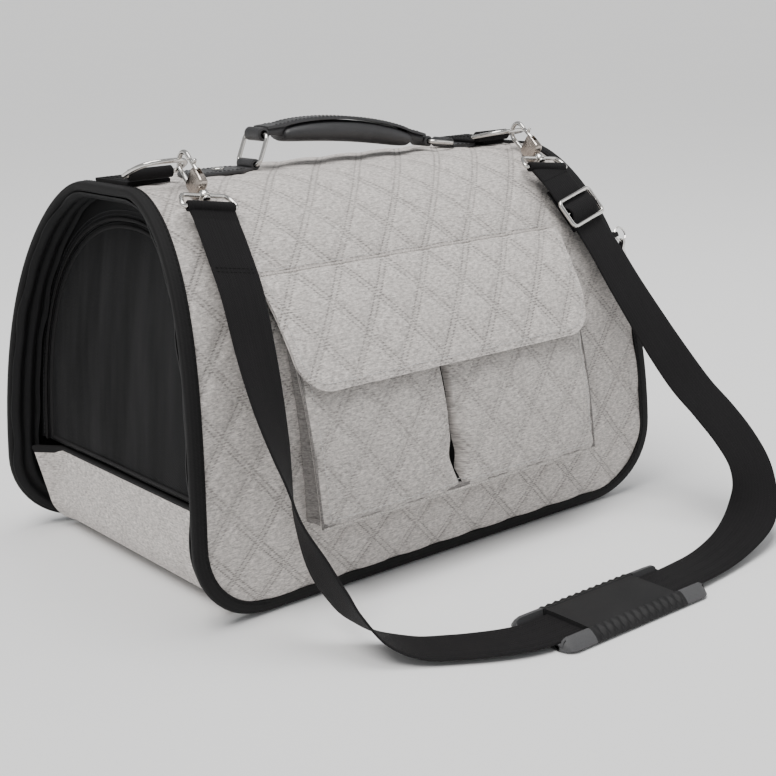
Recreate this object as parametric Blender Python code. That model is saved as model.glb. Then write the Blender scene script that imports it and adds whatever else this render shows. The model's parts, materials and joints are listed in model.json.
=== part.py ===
"""Soft pet carrier bag: felt wrap, mesh end doors, flap pocket, carry handle and shoulder strap.

Metres, +Z up. The origin is the middle of the base's underside, on the floor. +X runs along the
bag's length, and the pocket is on the -Y side.
"""

import math

import bmesh
import bpy
import numpy as np
from mathutils import Vector

# ---------------------------------------------------------------- driving dimensions
LENGTH = 0.460  # along the foot of the felt wrap
HEIGHT = 0.296  # floor to top of the wrap
TOP_HALF = 0.034  # half width of the flat top
BULGE_HALF = 0.148  # half depth of the bag where it is widest
END_TAPER = 0.030  # how much shorter each end is at the top
FOOT_TUCK = 0.008  # how far the foot of the wrap is drawn in
CORNER_R = 0.064  # lower corners of the front and rear panels
FELT = 0.0046  # felt with its stiffener
GAP = 0.0004  # clearance between pieces that touch

BINDING_W = 0.0104  # visible width of the edge tape
END_RECESS = 0.0275  # end panels sit this far inside the wrap's edge
BASE_END_X = 0.200  # outer face of the base's end bands
BAND_TOP = 0.075  # height of the end bands
DOOR_BASE = 0.0785  # lowest edge of an end door
DOOR_RISE = 0.188
DOOR_HALF = 0.1235

SEAM_Z = 0.234  # seam that the flap hangs from
FLAP_DROP = 0.085  # along the felt
FLAP_HALF = 0.147
POCKET_HALF = 0.137
POCKET_LOW_Z = 0.062
POCKET_TOP_Z = 0.185
POCKET_DEPTH = 0.024  # at the foot of the pocket
POCKET_MOUTH = 0.0120  # at its mouth

RING_WIRE = 0.0017
HANDLE_RING = 0.024  # between the two straight sides of a handle ring
LEFT_PIVOT = Vector((-0.072, 0.0, 0.3002))
RIGHT_PIVOT = Vector((0.127, 0.0, 0.3002))
LEFT_LEAN = math.radians(23)  # from upright, towards the handle's middle
RIGHT_LEAN = math.radians(82)

WEBBING = 0.038
WEB_THICK = 0.0018
TAB_X = {"left": -0.1695, "right": 0.1655}  # middle of each strap tab
TAB_BAR = (-0.020, 0.3038)  # y and z of the strap rings' straight side
STRAP_RING_HALF = 0.0215
STRAP_RING_DEPTH = 0.0275
HOOK_LENGTH = 0.057  # top of the bow to the bar that holds the webbing
HOOK_GRIP = 0.0066  # top of the bow to the middle of the wire it hangs on

# Each snap hook: x of its bow, tilt of the strap ring it hangs on, direction from bow to bar,
# and the heading of the bar in plan (degrees).
HOOKS = {
    "left": (-0.1560, 22.0, Vector((-0.080, -0.810, -0.578)), 12),
    "right": (0.1693, 11.0, Vector((-0.110, -0.828, -0.549)), 5),
}

# The webbing's route from the left hook to the slider: middle of the webbing, and the heading of
# its width in plan, in degrees from +X towards +Y.
STRAP_ROUTE = (
    (-0.1603, -0.0905, 0.2762, 9.5),
    (-0.1635, -0.1080, 0.2570, 9),
    (-0.1680, -0.1310, 0.2290, 10),
    (-0.1730, -0.1510, 0.1930, 15),
    (-0.1755, -0.1660, 0.1610, 25),
    (-0.1755, -0.1765, 0.1340, 38),
    (-0.1750, -0.1845, 0.1110, 52),
    (-0.1750, -0.1920, 0.0880, 64),
    (-0.1735, -0.2000, 0.0710, 76),
    (-0.1710, -0.2100, 0.0550, 86),
    (-0.1670, -0.2210, 0.0400, 88),
    (-0.1610, -0.2350, 0.0255, 86),
    (-0.1500, -0.2510, 0.0125, 78),
    (-0.1330, -0.2670, 0.0052, 68),
    (-0.1130, -0.2810, 0.0042, 68),
    (-0.0930, -0.2935, 0.0046, 74),
    (-0.0760, -0.3015, 0.0050, 83),
    (-0.0600, -0.3047, 0.0050, 89),
    (-0.0300, -0.3050, 0.0050, 90),
    (0.0100, -0.3050, 0.0050, 90),
    (0.0500, -0.3050, 0.0050, 90),
    (0.0780, -0.3048, 0.0050, 91),
    (0.0980, -0.3030, 0.0047, 93),
    (0.1220, -0.3005, 0.0050, 96),
    (0.1460, -0.2970, 0.0075, 104),
    (0.1700, -0.2925, 0.0130, 118),
    (0.1900, -0.2870, 0.0225, 138),
    (0.2030, -0.2800, 0.0370, 155),
    (0.2090, -0.2690, 0.0560, 162),
    (0.2100, -0.2520, 0.0745, 161),
    (0.2080, -0.2330, 0.0920, 160),
    (0.2050, -0.2120, 0.1100, 162),
    (0.2010, -0.1920, 0.1330, 166),
    (0.1965, -0.1720, 0.1590, 172),
    (0.1905, -0.1530, 0.1870, 178),
    (0.1840, -0.1370, 0.2140, 182),
    (0.1775, -0.1235, 0.2360, 185),
    (0.1700, -0.1085, 0.2590, 185),
    (0.1652, -0.0965, 0.2745, 185),
)
SLIDER_AT = 0.955  # where the slider sits, as a share of the webbing's length
PAD_SIZE = Vector((0.145, 0.062, 0.0095))
PAD_PLACE = Vector((0.010, -0.305, 0.0))


# ---------------------------------------------------------------- materials
def material(name, colour, rough, metal=0.0):
    found = bpy.data.materials.get(name)
    if found:
        return found
    made = bpy.data.materials.new(name)
    made.use_nodes = True
    shader = made.node_tree.nodes["Principled BSDF"]
    shader.inputs["Base Color"].default_value = (*colour, 1.0)
    shader.inputs["Roughness"].default_value = rough
    shader.inputs["Metallic"].default_value = metal
    return made


def felt():
    return material("felt", (0.47, 0.45, 0.44), 0.95)


def tape():
    return material("tape", (0.022, 0.021, 0.023), 0.85)


def nylon():
    return material("nylon", (0.016, 0.016, 0.018), 0.7)


def mesh_cloth():
    return material("mesh_cloth", (0.030, 0.031, 0.033), 0.8)


def leather():
    return material("leather", (0.020, 0.020, 0.022), 0.45)


def webbing():
    return material("webbing", (0.018, 0.017, 0.019), 0.8)


def steel():
    return material("steel", (0.75, 0.75, 0.76), 0.22, 1.0)


def pad_rubber():
    return material("pad_rubber", (0.055, 0.055, 0.058), 0.6)


# ---------------------------------------------------------------- building blocks
def finish(name, bm, look, origin=(0, 0, 0), sharp=35):
    """Turns world-space geometry into a named object whose origin is at the given point."""
    origin = Vector(origin)
    bmesh.ops.remove_doubles(bm, verts=bm.verts, dist=1e-6)
    bmesh.ops.recalc_face_normals(bm, faces=bm.faces)
    bmesh.ops.translate(bm, verts=bm.verts, vec=-origin)
    mesh = bpy.data.meshes.new(name)
    bm.to_mesh(mesh)
    bm.free()
    mesh.materials.append(look)
    mesh.shade_smooth()
    mesh.set_sharp_from_angle(angle=math.radians(sharp))
    made = bpy.data.objects.new(name, mesh)
    made.location = origin
    bpy.context.scene.collection.objects.link(made)
    return made


def add_grid(bm, rows, flip=False):
    """Adds quads over rows of points and gives back the rows of vertices."""
    verts = [[bm.verts.new(p) for p in row] for row in rows]
    for a, b in zip(verts, verts[1:]):
        for i in range(len(a) - 1):
            quad = (a[i], a[i + 1], b[i + 1], b[i])
            bm.faces.new(quad[::-1] if flip else quad)
    return verts


def add_slab(bm, outer, inner):
    """A closed sheet between two grids of the same shape."""
    top = add_grid(bm, outer)
    low = add_grid(bm, inner, flip=True)
    rim = lambda v: v[0] + [r[-1] for r in v[1:-1]] + v[-1][::-1] + [r[0] for r in v[-2:0:-1]]
    a, b = rim(top), rim(low)
    for i in range(len(a)):
        j = (i + 1) % len(a)
        bm.faces.new((a[j], a[i], b[i], b[j]))


def add_sweep(bm, sections, closed=False):
    """Joins a run of equal sections into a skin, with end caps unless it closes on itself."""
    rings = [[bm.verts.new(p) for p in section] for section in sections]
    count = len(rings[0])
    last = len(rings) if closed else len(rings) - 1
    for k in range(last):
        a, b = rings[k], rings[(k + 1) % len(rings)]
        for i in range(count):
            j = (i + 1) % count
            bm.faces.new((a[i], a[j], b[j], b[i]))
    if not closed:
        bm.faces.new(rings[0][::-1])
        bm.faces.new(rings[-1])


def tangents(points, closed=False):
    count = len(points)
    made = []
    for i in range(count):
        before = points[i - 1] if closed or i else points[0]
        after = points[(i + 1) % count] if closed or i < count - 1 else points[-1]
        made.append((after - before).normalized())
    return made


def add_wire(bm, points, radius, side, sides=8, closed=False):
    """A round bar along points that lie in a plane square to side."""
    sections = []
    for point, along in zip(points, tangents(points, closed)):
        out = side.cross(along).normalized()
        ring = []
        for k in range(sides):
            turn = 2 * math.pi * (k + 0.5) / sides
            ring.append(point + radius * (math.cos(turn) * side + math.sin(turn) * out))
        sections.append(ring)
    add_sweep(bm, sections, closed)


def add_box(bm, low, high):
    low, high = Vector(low), Vector(high)
    sections = []
    for x in (low.x, high.x):
        corners = ((low.y, low.z), (high.y, low.z), (high.y, high.z), (low.y, high.z))
        sections.append([Vector((x, y, z)) for y, z in corners])
    add_sweep(bm, sections)


def add_rod(bm, start, end, radius, sides=12):
    start, end = Vector(start), Vector(end)
    along = (end - start).normalized()
    side = along.orthogonal().normalized()
    add_wire(bm, [start, end], radius, side, sides)


def helper(name, fill):
    """A closed cutter or union piece, kept out of the model."""
    bm = bmesh.new()
    fill(bm)
    made = finish(name, bm, steel())
    made.hide_render = True
    made.display_type = "WIRE"
    made.hide_set(True)
    return made


def combine(target, operation, name, fill):
    """Applies one exact Boolean to the target and drops the helper."""
    other = helper(name, fill)
    step = target.modifiers.new(name, "BOOLEAN")
    step.operation = operation
    step.solver = "EXACT"
    step.object = other
    graph = bpy.context.evaluated_depsgraph_get()
    result = bpy.data.meshes.new_from_object(target.evaluated_get(graph))
    target.modifiers.clear()
    target.data = result
    bpy.data.objects.remove(other)
    target.data.shade_smooth()
    target.data.set_sharp_from_angle(angle=math.radians(35))


# ---------------------------------------------------------------- the wrap's surface
def wrap_profile():
    """The wrap's cross-section from the front foot over the top to the rear foot."""
    half = []
    for share in np.linspace(0.007, 1, 160):
        turn = math.pi / 2 * share**2
        rise = math.sin(turn) ** 0.625
        z = HEIGHT * rise
        y = TOP_HALF + (BULGE_HALF - TOP_HALF) * math.cos(turn) ** 1.176
        y -= FOOT_TUCK * math.exp(-z / 0.02)
        half.append((y, z))
    front = [(-y, z) for y, z in half]
    rear = [(y, z) for y, z in reversed(half)]
    return np.array(front + rear)


PROFILE = wrap_profile()
STEPS = np.hypot(*np.diff(PROFILE, axis=0).T)
RUN = np.concatenate([[0], np.cumsum(STEPS)])
GIRTH = float(RUN[-1])


def section_at(s, off=0.0):
    """(y, z) of the wrap at arc length s, moved outwards by off."""
    spread = 0.004
    here = [np.interp(s, RUN, PROFILE[:, i]) for i in (0, 1)]
    ahead = [np.interp(min(s + spread, GIRTH), RUN, PROFILE[:, i]) for i in (0, 1)]
    behind = [np.interp(max(s - spread, 0), RUN, PROFILE[:, i]) for i in (0, 1)]
    dy, dz = ahead[0] - behind[0], ahead[1] - behind[1]
    size = math.hypot(dy, dz)
    return here[0] - off * dz / size, here[1] + off * dy / size


def reach(z):
    """Half the wrap's length at this height, above its rounded corners."""
    return LENGTH / 2 - END_TAPER * (max(z, 0) / HEIGHT) ** 2.08


def on_wrap(x, s, off=0.0):
    y, z = section_at(s, off)
    return Vector((x, y, z))


def arc_at_height(z):
    """Arc length from the front foot to this height on the front panel."""
    top = len(PROFILE) // 2
    return float(np.interp(z, PROFILE[:top, 1], RUN[:top]))


def corner_stations(inset, count=9):
    """(x, s) round one lower corner, from the foot up, at this inset from the edge."""
    radius = CORNER_R - inset
    made = []
    for turn in np.linspace(math.pi / 2, 0, count):
        made.append((LENGTH / 2 - CORNER_R + radius * math.cos(turn), CORNER_R - radius * math.sin(turn)))
    return made


def arch_runs(count=46):
    return np.linspace(CORNER_R, GIRTH - CORNER_R, count)[1:-1]


def end_outline(inset, off):
    """Points from the front foot round one end's edge to the rear foot, for +X."""
    front = corner_stations(inset)
    points = [on_wrap(x - END_TAPER * (s / HEIGHT) ** 2.08, s, off) for x, s in front]
    for s in arch_runs():
        z = section_at(s)[1]
        points.append(on_wrap(reach(z) - inset, s, off))
    for x, s in reversed(front):
        points.append(on_wrap(x - END_TAPER * (s / HEIGHT) ** 2.08, GIRTH - s, off))
    return points


def mirrored(points, side):
    return [Vector((p.x * side, p.y, p.z)) for p in points]


# ---------------------------------------------------------------- the bag's soft body
def make_wrap():
    edge = BINDING_W + GAP
    rows = {}
    for off in (-0.0006, -0.0006 - FELT):
        right = end_outline(edge, off)
        rows[off] = [[Vector((-p.x, p.y, p.z)), p] for p in right]
    bm = bmesh.new()
    outer, inner = rows.values()
    add_slab(bm, outer, inner)
    return finish("shell_wrap", bm, felt())


def make_binding():
    """Edge tape folded round the whole rim of the wrap."""
    corners = ((0.0, -0.0012), (0.0014, 0.0006), (BINDING_W, 0.0006))
    corners += ((BINDING_W, -0.0062), (0.0014, -0.0062), (0.0, -0.0044))
    lines = [end_outline(inset, off) for inset, off in corners]
    right = [list(points) for points in zip(*lines)]
    left = [mirrored(section, -1) for section in reversed(right)]
    bm = bmesh.new()
    add_sweep(bm, right + left, closed=True)
    return finish("edge_binding", bm, tape())


def make_gusset(name, side):
    """Pleated strip inside one end's edge, folded like a bellows."""
    folds = ((0.0015, -0.0070), (0.0063, -0.0112), (0.0110, -0.0072), (0.0158, -0.0116))
    folds += ((0.0205, -0.0074), (0.0238, -0.0104))
    cloth = 0.0015
    outline = list(folds) + [(inset, off - cloth) for inset, off in reversed(folds)]
    lines = [end_outline(inset, off) for inset, off in outline]
    sections = [mirrored(points, side) for points in zip(*lines)][1:-1]
    bm = bmesh.new()
    add_sweep(bm, sections)
    return finish(name, bm, nylon())


def make_base():
    """Felt strip that makes the floor and turns up into a band at each end."""
    bend = 0.030
    flat_x = BASE_END_X - bend
    path = [(flat_x * t, 0.0, 0.0, 0.0) for t in (0.0, 0.4, 0.8)]
    for turn in np.linspace(0, math.pi / 2, 7):
        lift = bend - bend * math.cos(turn)
        path.append((flat_x + bend * math.sin(turn), lift, turn, 0.35 * turn / 1.57))
    for z in (0.045, 0.060, BAND_TOP):
        path.append((BASE_END_X, z, math.pi / 2, 0.35 + 0.65 * (z - bend) / (BAND_TOP - bend)))

    def row(x, z, turn, wing, side, depth):
        half = 0.1330 if x < 0.120 else 0.1330 - 0.0085 * min((x - 0.120) / 0.03, 1)
        fold = half - 0.0205 * wing
        px, pz = x - depth * math.sin(turn), z + depth * math.cos(turn)
        points = []
        for y, push in ((-half, 0.0165 * wing), (-fold, 0), (fold, 0), (half, 0.0165 * wing)):
            points.append(Vector((side * (px + push), y, pz)))
        return points

    right = lambda depth: [row(*station, 1, depth) for station in path]
    left = lambda depth: [row(*station, -1, depth) for station in reversed(path[1:])]
    bm = bmesh.new()
    add_slab(bm, left(0.0) + right(0.0), left(0.0045) + right(0.0045))
    return finish("base_shell", bm, felt())


def door_outline(grow=0.0, count=23, reach_turn=86):
    """(y, z) up one side of the dome-shaped door, from its foot to its crown."""
    made = []
    for turn in np.linspace(0, math.radians(reach_turn), count):
        z = DOOR_BASE + (DOOR_RISE + grow) * math.sin(turn) ** 0.625
        made.append(((DOOR_HALF + grow) * math.cos(turn) ** 0.909, z))
    return made


def make_end_frame(name, side):
    """Cloth panel between the wrap and the door's zip."""
    inner = [(-y, z) for y, z in door_outline(0.0006, 26, 90)]
    inner += [(y, z) for y, z in reversed(door_outline(0.0006, 26, 90)[:-1])]
    foot = arc_at_height(DOOR_BASE - 0.0005)
    outer = [section_at(s, -FELT - 0.0011) for s in np.linspace(foot, GIRTH - foot, len(inner))]
    sheets = []
    for depth in (END_RECESS, END_RECESS + 0.0018):
        rows = []
        for (oy, oz), (iy, iz) in zip(outer, inner):
            rows.append([Vector((side * (reach(z) - depth), y, z)) for y, z in ((oy, oz), (iy, iz))])
        sheets.append(rows)
    bm = bmesh.new()
    add_slab(bm, *sheets)
    return finish(name, bm, nylon())


def make_zip_track(name, side):
    """Coil and tape of the zip round the door."""
    near = [(-y, z) for y, z in door_outline(0.0012, 26, 90)]
    near += [(y, z) for y, z in reversed(door_outline(0.0012, 26, 90)[:-1])]
    far = [(-y, z) for y, z in door_outline(0.0042, 26, 90)]
    far += [(y, z) for y, z in reversed(door_outline(0.0042, 26, 90)[:-1])]
    sections = []
    for a, b in zip(near, far):
        section = []
        for (y, z), depth in ((a, 0.0004), (b, 0.0004), (b, 0.0018), (a, 0.0018)):
            section.append(Vector((side * (reach(z) - END_RECESS + depth), y, z)))
        sections.append(section)
    bm = bmesh.new()
    add_sweep(bm, sections)
    return finish(name, bm, tape())


def door_hinge(side):
    return Vector((side * 0.2008, 0.0, 0.0768))


def make_door(name, side):
    sheets = []
    for depth in (END_RECESS + 0.0004, END_RECESS + 0.0018):
        rows = []
        for y, z in door_outline():
            rows.append([Vector((side * (reach(z) - depth), y * k, z)) for k in (-1, -0.33, 0.33, 1)])
        sheets.append(rows)
    bm = bmesh.new()
    add_slab(bm, *sheets)
    return finish(name, bm, mesh_cloth(), door_hinge(side))


def make_zip_slider(end, side):
    """Zip slider parked low on the track, with a pull hanging from its bridge."""
    y, z = door_outline(0.0030, 26, 90)[3]
    face = lambda level, lift: reach(level) - END_RECESS + 0.0021 + lift
    spot = lambda lift, across, level: Vector((side * face(z + level, lift), across - y, z + level))
    sections = []
    for level, half in ((-0.0055, 0.0018), (-0.0020, 0.0025), (0.0045, 0.0025)):
        section = [spot(0, -half, level), spot(0, half, level), spot(0.0028, half, level)]
        sections.append(section + [spot(0.0028, -half, level)])
    bm = bmesh.new()
    add_sweep(bm, sections)
    body = finish("zip_slider_" + end, bm, steel())
    arch = [spot(0.0012, 0, -0.0040)]
    for turn in np.linspace(0.15, math.pi - 0.15, 9):
        arch.append(spot(0.0018 + 0.0038 * math.sin(turn), 0, -0.0042 * math.cos(turn)))
    arch.append(spot(0.0012, 0, 0.0040))
    combine(body, "UNION", "bridge", lambda b: add_wire(b, arch, 0.0007, Vector((0, 1, 0)), 8))

    pivot = spot(0.0040, 0, 0.0)
    place = lambda across, level: pivot + Vector((0, across, level))
    rail = [place(-0.0022, 0.0), place(0.0022, 0.0), place(0.0022, -0.0062), place(-0.0022, -0.0062)]
    bm = bmesh.new()
    add_wire(bm, rail, 0.0007, Vector((1, 0, 0)), 8, closed=True)
    pull = finish("zip_pull_" + end, bm, steel(), pivot)
    shape = ((-0.0022, -0.0058), (-0.0026, -0.0230), (0.0, -0.0265), (0.0026, -0.0230), (0.0022, -0.0058))
    faces = [[place(a, c) + Vector((d, 0, 0)) for a, c in shape] for d in (-0.0005, 0.0005)]
    plate = lambda b: add_sweep(b, faces)
    combine(pull, "UNION", "plate", plate)
    return body, pull


def make_mat():
    """Loose padded mat with its board, on the floor inside."""
    outline = []
    half_x, half_y, radius = 0.168, 0.116, 0.020
    for cx, cy, start in ((1, 1, 0), (-1, 1, 90), (-1, -1, 180), (1, -1, 270)):
        for step in range(5):
            turn = math.radians(start + 22.5 * step)
            outline.append((cx * (half_x - radius) + radius * math.cos(turn),
                            cy * (half_y - radius) + radius * math.sin(turn)))
    levels = ((0.004, 0.0050), (0.0, 0.0080), (0.0, 0.0150), (0.005, 0.0185))
    sections = []
    for shrink, z in levels:
        kx, ky = 1 - shrink / half_x, 1 - shrink / half_y
        sections.append([Vector((x * kx, y * ky, z)) for x, y in outline])
    bm = bmesh.new()
    add_sweep(bm, sections)
    return finish("floor_mat", bm, felt())


# ---------------------------------------------------------------- pocket and flap
def pocket_stand(x, s):
    """How far the pocket's face stands off the wrap."""
    low, top = arc_at_height(POCKET_LOW_Z), arc_at_height(POCKET_TOP_Z)
    fall = (top - s) / (top - low)
    stand = POCKET_MOUTH + (POCKET_DEPTH - POCKET_MOUTH) * min(max(fall, 0), 1) ** 0.88
    pleat = math.exp(-((x + 0.009) / 0.0075) ** 2)
    return stand - 0.0045 * pleat * (0.3 + 0.7 * min(max(fall, 0), 1))


def pocket_block(bm, spans, low, top, back, skin):
    """Closed block from the wrap out to the pocket's face, less skin."""
    columns = np.linspace(spans[0], spans[1], spans[2])
    rows = np.linspace(low, top, 9)
    face = [[on_wrap(x, s, pocket_stand(x, s) - skin) for x in columns] for s in rows]
    rear = [[on_wrap(x, s, back) for x in columns] for s in rows]
    add_slab(bm, face, rear)


def make_pocket():
    low, top = arc_at_height(POCKET_LOW_Z), arc_at_height(POCKET_TOP_Z)
    bm = bmesh.new()
    pocket_block(bm, (-POCKET_HALF, POCKET_HALF, 25), low, top, GAP, 0.0)
    made = finish("front_pocket", bm, felt())
    left, right = (-POCKET_HALF + 0.003, -0.0190, 12), (0.0010, POCKET_HALF - 0.003, 14)
    for name, spans in (("left", left), ("right", right)):
        cut = lambda b, spans=spans: pocket_block(b, spans, low + 0.003, top + 0.012, -0.0035, 0.0028)
        combine(made, "DIFFERENCE", "compartment_" + name, cut)
    return made


def flap_hinge():
    y, z = section_at(arc_at_height(SEAM_Z), 0.0022)
    return Vector((0.0, y, z))


def make_flap():
    start = arc_at_height(SEAM_Z)
    radius = 0.024
    sheets = []
    drops = list(np.linspace(0, FLAP_DROP - radius, 8)) + [
        FLAP_DROP - radius + radius * math.sin(t) for t in np.linspace(0, math.pi / 2, 8)[1:]]
    for thick in (0.0032, 0.0):
        rows = []
        for drop in drops:
            past = max(drop - (FLAP_DROP - radius), 0)
            half = FLAP_HALF - 0.006 * drop / FLAP_DROP - radius + math.sqrt(max(radius**2 - past**2, 0))
            stand = 0.0008 + 0.0198 * (drop / FLAP_DROP) ** 0.85 + thick
            rows.append([on_wrap(x, start - drop, stand) for x in (-half, half)])
        sheets.append(rows)
    bm = bmesh.new()
    add_slab(bm, *sheets)
    return finish("pocket_flap", bm, felt(), flap_hinge())


# ---------------------------------------------------------------- carry handle
def loop_rail(centre, along, across, half_along, half_across, corner):
    """Points round a rectangle with rounded corners."""
    points = []
    for sa, sb, start in ((1, 1, 0), (-1, 1, 90), (-1, -1, 180), (1, -1, 270)):
        for step in range(4):
            turn = math.radians(start + 30 * step)
            a = sa * (half_along - corner) + corner * math.cos(turn)
            b = sb * (half_across - corner) + corner * math.sin(turn)
            points.append(centre + along * a + across * b)
    return points


def ring_direction(side):
    lean = LEFT_LEAN if side < 0 else RIGHT_LEAN
    return Vector((-side * math.sin(lean), 0, math.cos(lean)))


def ring_far(side):
    pivot = LEFT_PIVOT if side < 0 else RIGHT_PIVOT
    return pivot + ring_direction(side) * HANDLE_RING


def make_handle_ring(name, side):
    pivot = LEFT_PIVOT if side < 0 else RIGHT_PIVOT
    along = ring_direction(side)
    across = Vector((0, 1, 0))
    centre = pivot + along * HANDLE_RING / 2
    rail = loop_rail(centre, along, across, HANDLE_RING / 2, 0.0150, 0.0045)
    bm = bmesh.new()
    add_wire(bm, rail, RING_WIRE, along.cross(across).normalized(), 8, closed=True)
    return finish(name, bm, steel(), pivot)


def make_handle_tab(name, side):
    """Leather tongue sewn to the top, folded round the ring's straight side."""
    pivot = LEFT_PIVOT if side < 0 else RIGHT_PIVOT
    floor = HEIGHT - 0.0006 + 0.0003
    inner_end = 0.0010
    tongue = 0.060 if side < 0 else 0.032
    outline = [(inner_end, -0.0115), (0.008, -0.0125), (0.016, -0.0160)]
    for t in np.linspace(0, math.pi, 9):
        outline.append((tongue - 0.012 + 0.012 * math.sin(t), -0.0160 * math.cos(t)))
    outline += [(0.016, 0.0160), (0.008, 0.0125), (inner_end, 0.0115)]
    sections = []
    for z in (floor, floor + 0.0026):
        sections.append([Vector((pivot.x + side * a, b, z)) for a, b in outline])
    bm = bmesh.new()
    add_sweep(bm, sections)
    made = finish(name, bm, leather())
    low, high = pivot + Vector((0, -0.0105, 0)), pivot + Vector((0, 0.0105, 0))
    combine(made, "UNION", "roll", lambda b: add_rod(b, low, high, 0.0043, 16))
    far = Vector((0, 0.01, 0))
    combine(made, "DIFFERENCE", "eye", lambda b: add_rod(b, low - far, high + far, RING_WIRE + 0.0006, 12))
    return made


def make_rivet():
    """Domed rivet through the left tongue."""
    base = Vector((LEFT_PIVOT.x - 0.028, 0, HEIGHT - 0.0003 + 0.0026 + 0.0003))
    sections = []
    for height, radius in ((0.0, 0.0046), (0.0008, 0.0046), (0.0016, 0.0034), (0.0020, 0.0014)):
        turns = [2 * math.pi * k / 14 for k in range(14)]
        circle = [(radius * math.cos(t), radius * math.sin(t)) for t in turns]
        sections.append([base + Vector((x, y, height)) for x, y in circle])
    bm = bmesh.new()
    add_sweep(bm, sections)
    return finish("handle_rivet_left", bm, steel())


def handle_axis(u, lift=0.0):
    """Point on the handle's arched middle line, u from the left loop to the right, raised by lift."""
    start, end = ring_far(-1), ring_far(1)
    chord = end - start
    up = Vector((-chord.z, 0, chord.x)).normalized()
    rise = 0.0085 * math.sin(math.pi * u) ** 0.8 if 0 < u < 1 else 0.0
    return start + chord * u + up * (rise + lift), up


def make_handle():
    start, end = ring_far(-1), ring_far(1)
    across = Vector((0, 1, 0))
    sections = []
    for u in np.linspace(0.115, 0.885, 15):
        swell = math.sin(math.pi * (u - 0.115) / 0.77) ** 0.35 if 0.115 < u < 0.885 else 0.0
        wide, tall = 0.0105 + 0.0050 * swell, 0.0042 + 0.0046 * swell
        centre, up = handle_axis(u, -0.0030)
        ring = []
        for k in range(14):
            turn = 2 * math.pi * k / 14
            ring.append(centre + across * wide * math.cos(turn) + up * tall * math.sin(turn))
        sections.append(ring)
    bm = bmesh.new()
    add_sweep(bm, sections)
    grip = finish("handle_grip", bm, leather(), start)

    sections = []
    for u in np.linspace(0.0, 1.0, 25):
        swell = math.sin(math.pi * min(max((u - 0.115) / 0.77, 0), 1)) ** 0.35
        middle, up = handle_axis(u, -0.0030 + 0.0042 + 0.0046 * swell + 0.0004)
        lowest, _ = handle_axis(u, 0.0030)
        if (middle - lowest).dot(up) < 0:
            middle = lowest
        half = 0.0100
        sections.append([middle - across * half, middle + across * half,
                         middle + across * half + up * 0.0022, middle - across * half + up * 0.0022])
    bm = bmesh.new()
    add_sweep(bm, sections)
    strap = finish("handle_strap", bm, leather(), start)
    reach_out = Vector((0, 0.010, 0))
    for name, at, hole in (("left", start, 0.0033), ("right", end, 0.0024)):
        combine(strap, "UNION", "loop_" + name, lambda b, at=at, hole=hole: add_rod(
            b, at - reach_out, at + reach_out, hole + 0.0019, 16))
    for name, at, hole in (("left", start, 0.0033), ("right", end, 0.0024)):
        combine(strap, "DIFFERENCE", "bore_" + name, lambda b, at=at, hole=hole: add_rod(
            b, at - 2 * reach_out, at + 2 * reach_out, hole, 16))
    return grip, strap


# ---------------------------------------------------------------- strap tabs, rings and hooks
def make_strap_tab(end):
    """Webbing loop sewn to the top, folded round the strap ring."""
    y, z = TAB_BAR
    low, high = TAB_X[end] - 0.0175, TAB_X[end] + 0.0175
    floor = HEIGHT - 0.0006 + 0.0003
    bm = bmesh.new()
    if end == "left":
        add_box(bm, (low, y, floor), (high, 0.031, floor + 0.0030))
    else:
        add_box(bm, (RIGHT_PIVOT.x + 0.0323, y, floor), (high, 0.031, floor + 0.0055))
    made = finish("strap_tab_" + end, bm, webbing())
    if end == "right":
        over = floor + 0.0030
        above = (high - 0.002, 0.031, over + 0.0025)
        combine(made, "UNION", "over_tongue", lambda b: add_box(b, (low, y, over), above))
    combine(made, "UNION", "roll", lambda b: add_rod(b, (low, y, z), (high, y, z), 0.0044, 16))
    root = (low, y + 0.0026, z - 0.0055), (high, y + 0.0060, z - 0.0020)
    combine(made, "UNION", "root", lambda b: add_box(b, *root))
    bore = (low - 0.01, y, z), (high + 0.01, y, z)
    combine(made, "DIFFERENCE", "eye", lambda b: add_rod(b, *bore, 0.0025, 12))
    return made


def strap_ring_pivot(end):
    return Vector((TAB_X[end], *TAB_BAR))


def strap_ring_out(end):
    tilt = math.radians(HOOKS[end][1])
    return Vector((0, -math.cos(tilt), math.sin(tilt)))


def strap_ring_apex(end):
    """Where the ring's bow passes through the hook."""
    aside = abs(HOOKS[end][0] - TAB_X[end]) / STRAP_RING_HALF
    depth = STRAP_RING_DEPTH * math.sin(math.acos(aside ** (1 / 0.62))) ** 0.62
    apex = strap_ring_pivot(end) + strap_ring_out(end) * depth
    return Vector((HOOKS[end][0], apex.y, apex.z))


def hook_frame(end):
    """Bow top, direction down the hook, bar direction, and bow plane normal."""
    down = HOOKS[end][2].normalized()
    top = strap_ring_apex(end) - down * HOOK_GRIP
    heading = math.radians(HOOKS[end][3])
    wide = Vector((math.cos(heading), math.sin(heading), 0))
    wide = (wide - down * wide.dot(down)).normalized()
    sideways = Vector((1, 0, 0)) - down * down.x
    sideways.normalize()
    return top, down, wide, sideways


def make_strap_ring(end):
    """D-shaped ring: straight side in the tab, bow through the hook."""
    pivot, out = strap_ring_pivot(end), strap_ring_out(end)
    across = Vector((1, 0, 0))
    rail = [pivot - across * STRAP_RING_HALF, pivot + across * STRAP_RING_HALF]
    for turn in np.linspace(0.12, math.pi - 0.12, 15):
        wide = math.copysign(abs(math.cos(turn)) ** 0.62, math.cos(turn))
        deep = STRAP_RING_DEPTH * math.sin(turn) ** 0.62
        rail.append(pivot + across * STRAP_RING_HALF * wide + out * deep)
    bm = bmesh.new()
    add_wire(bm, rail, 0.0018, across.cross(out).normalized(), 8, closed=True)
    return finish("strap_ring_" + end, bm, steel(), pivot)


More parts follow.
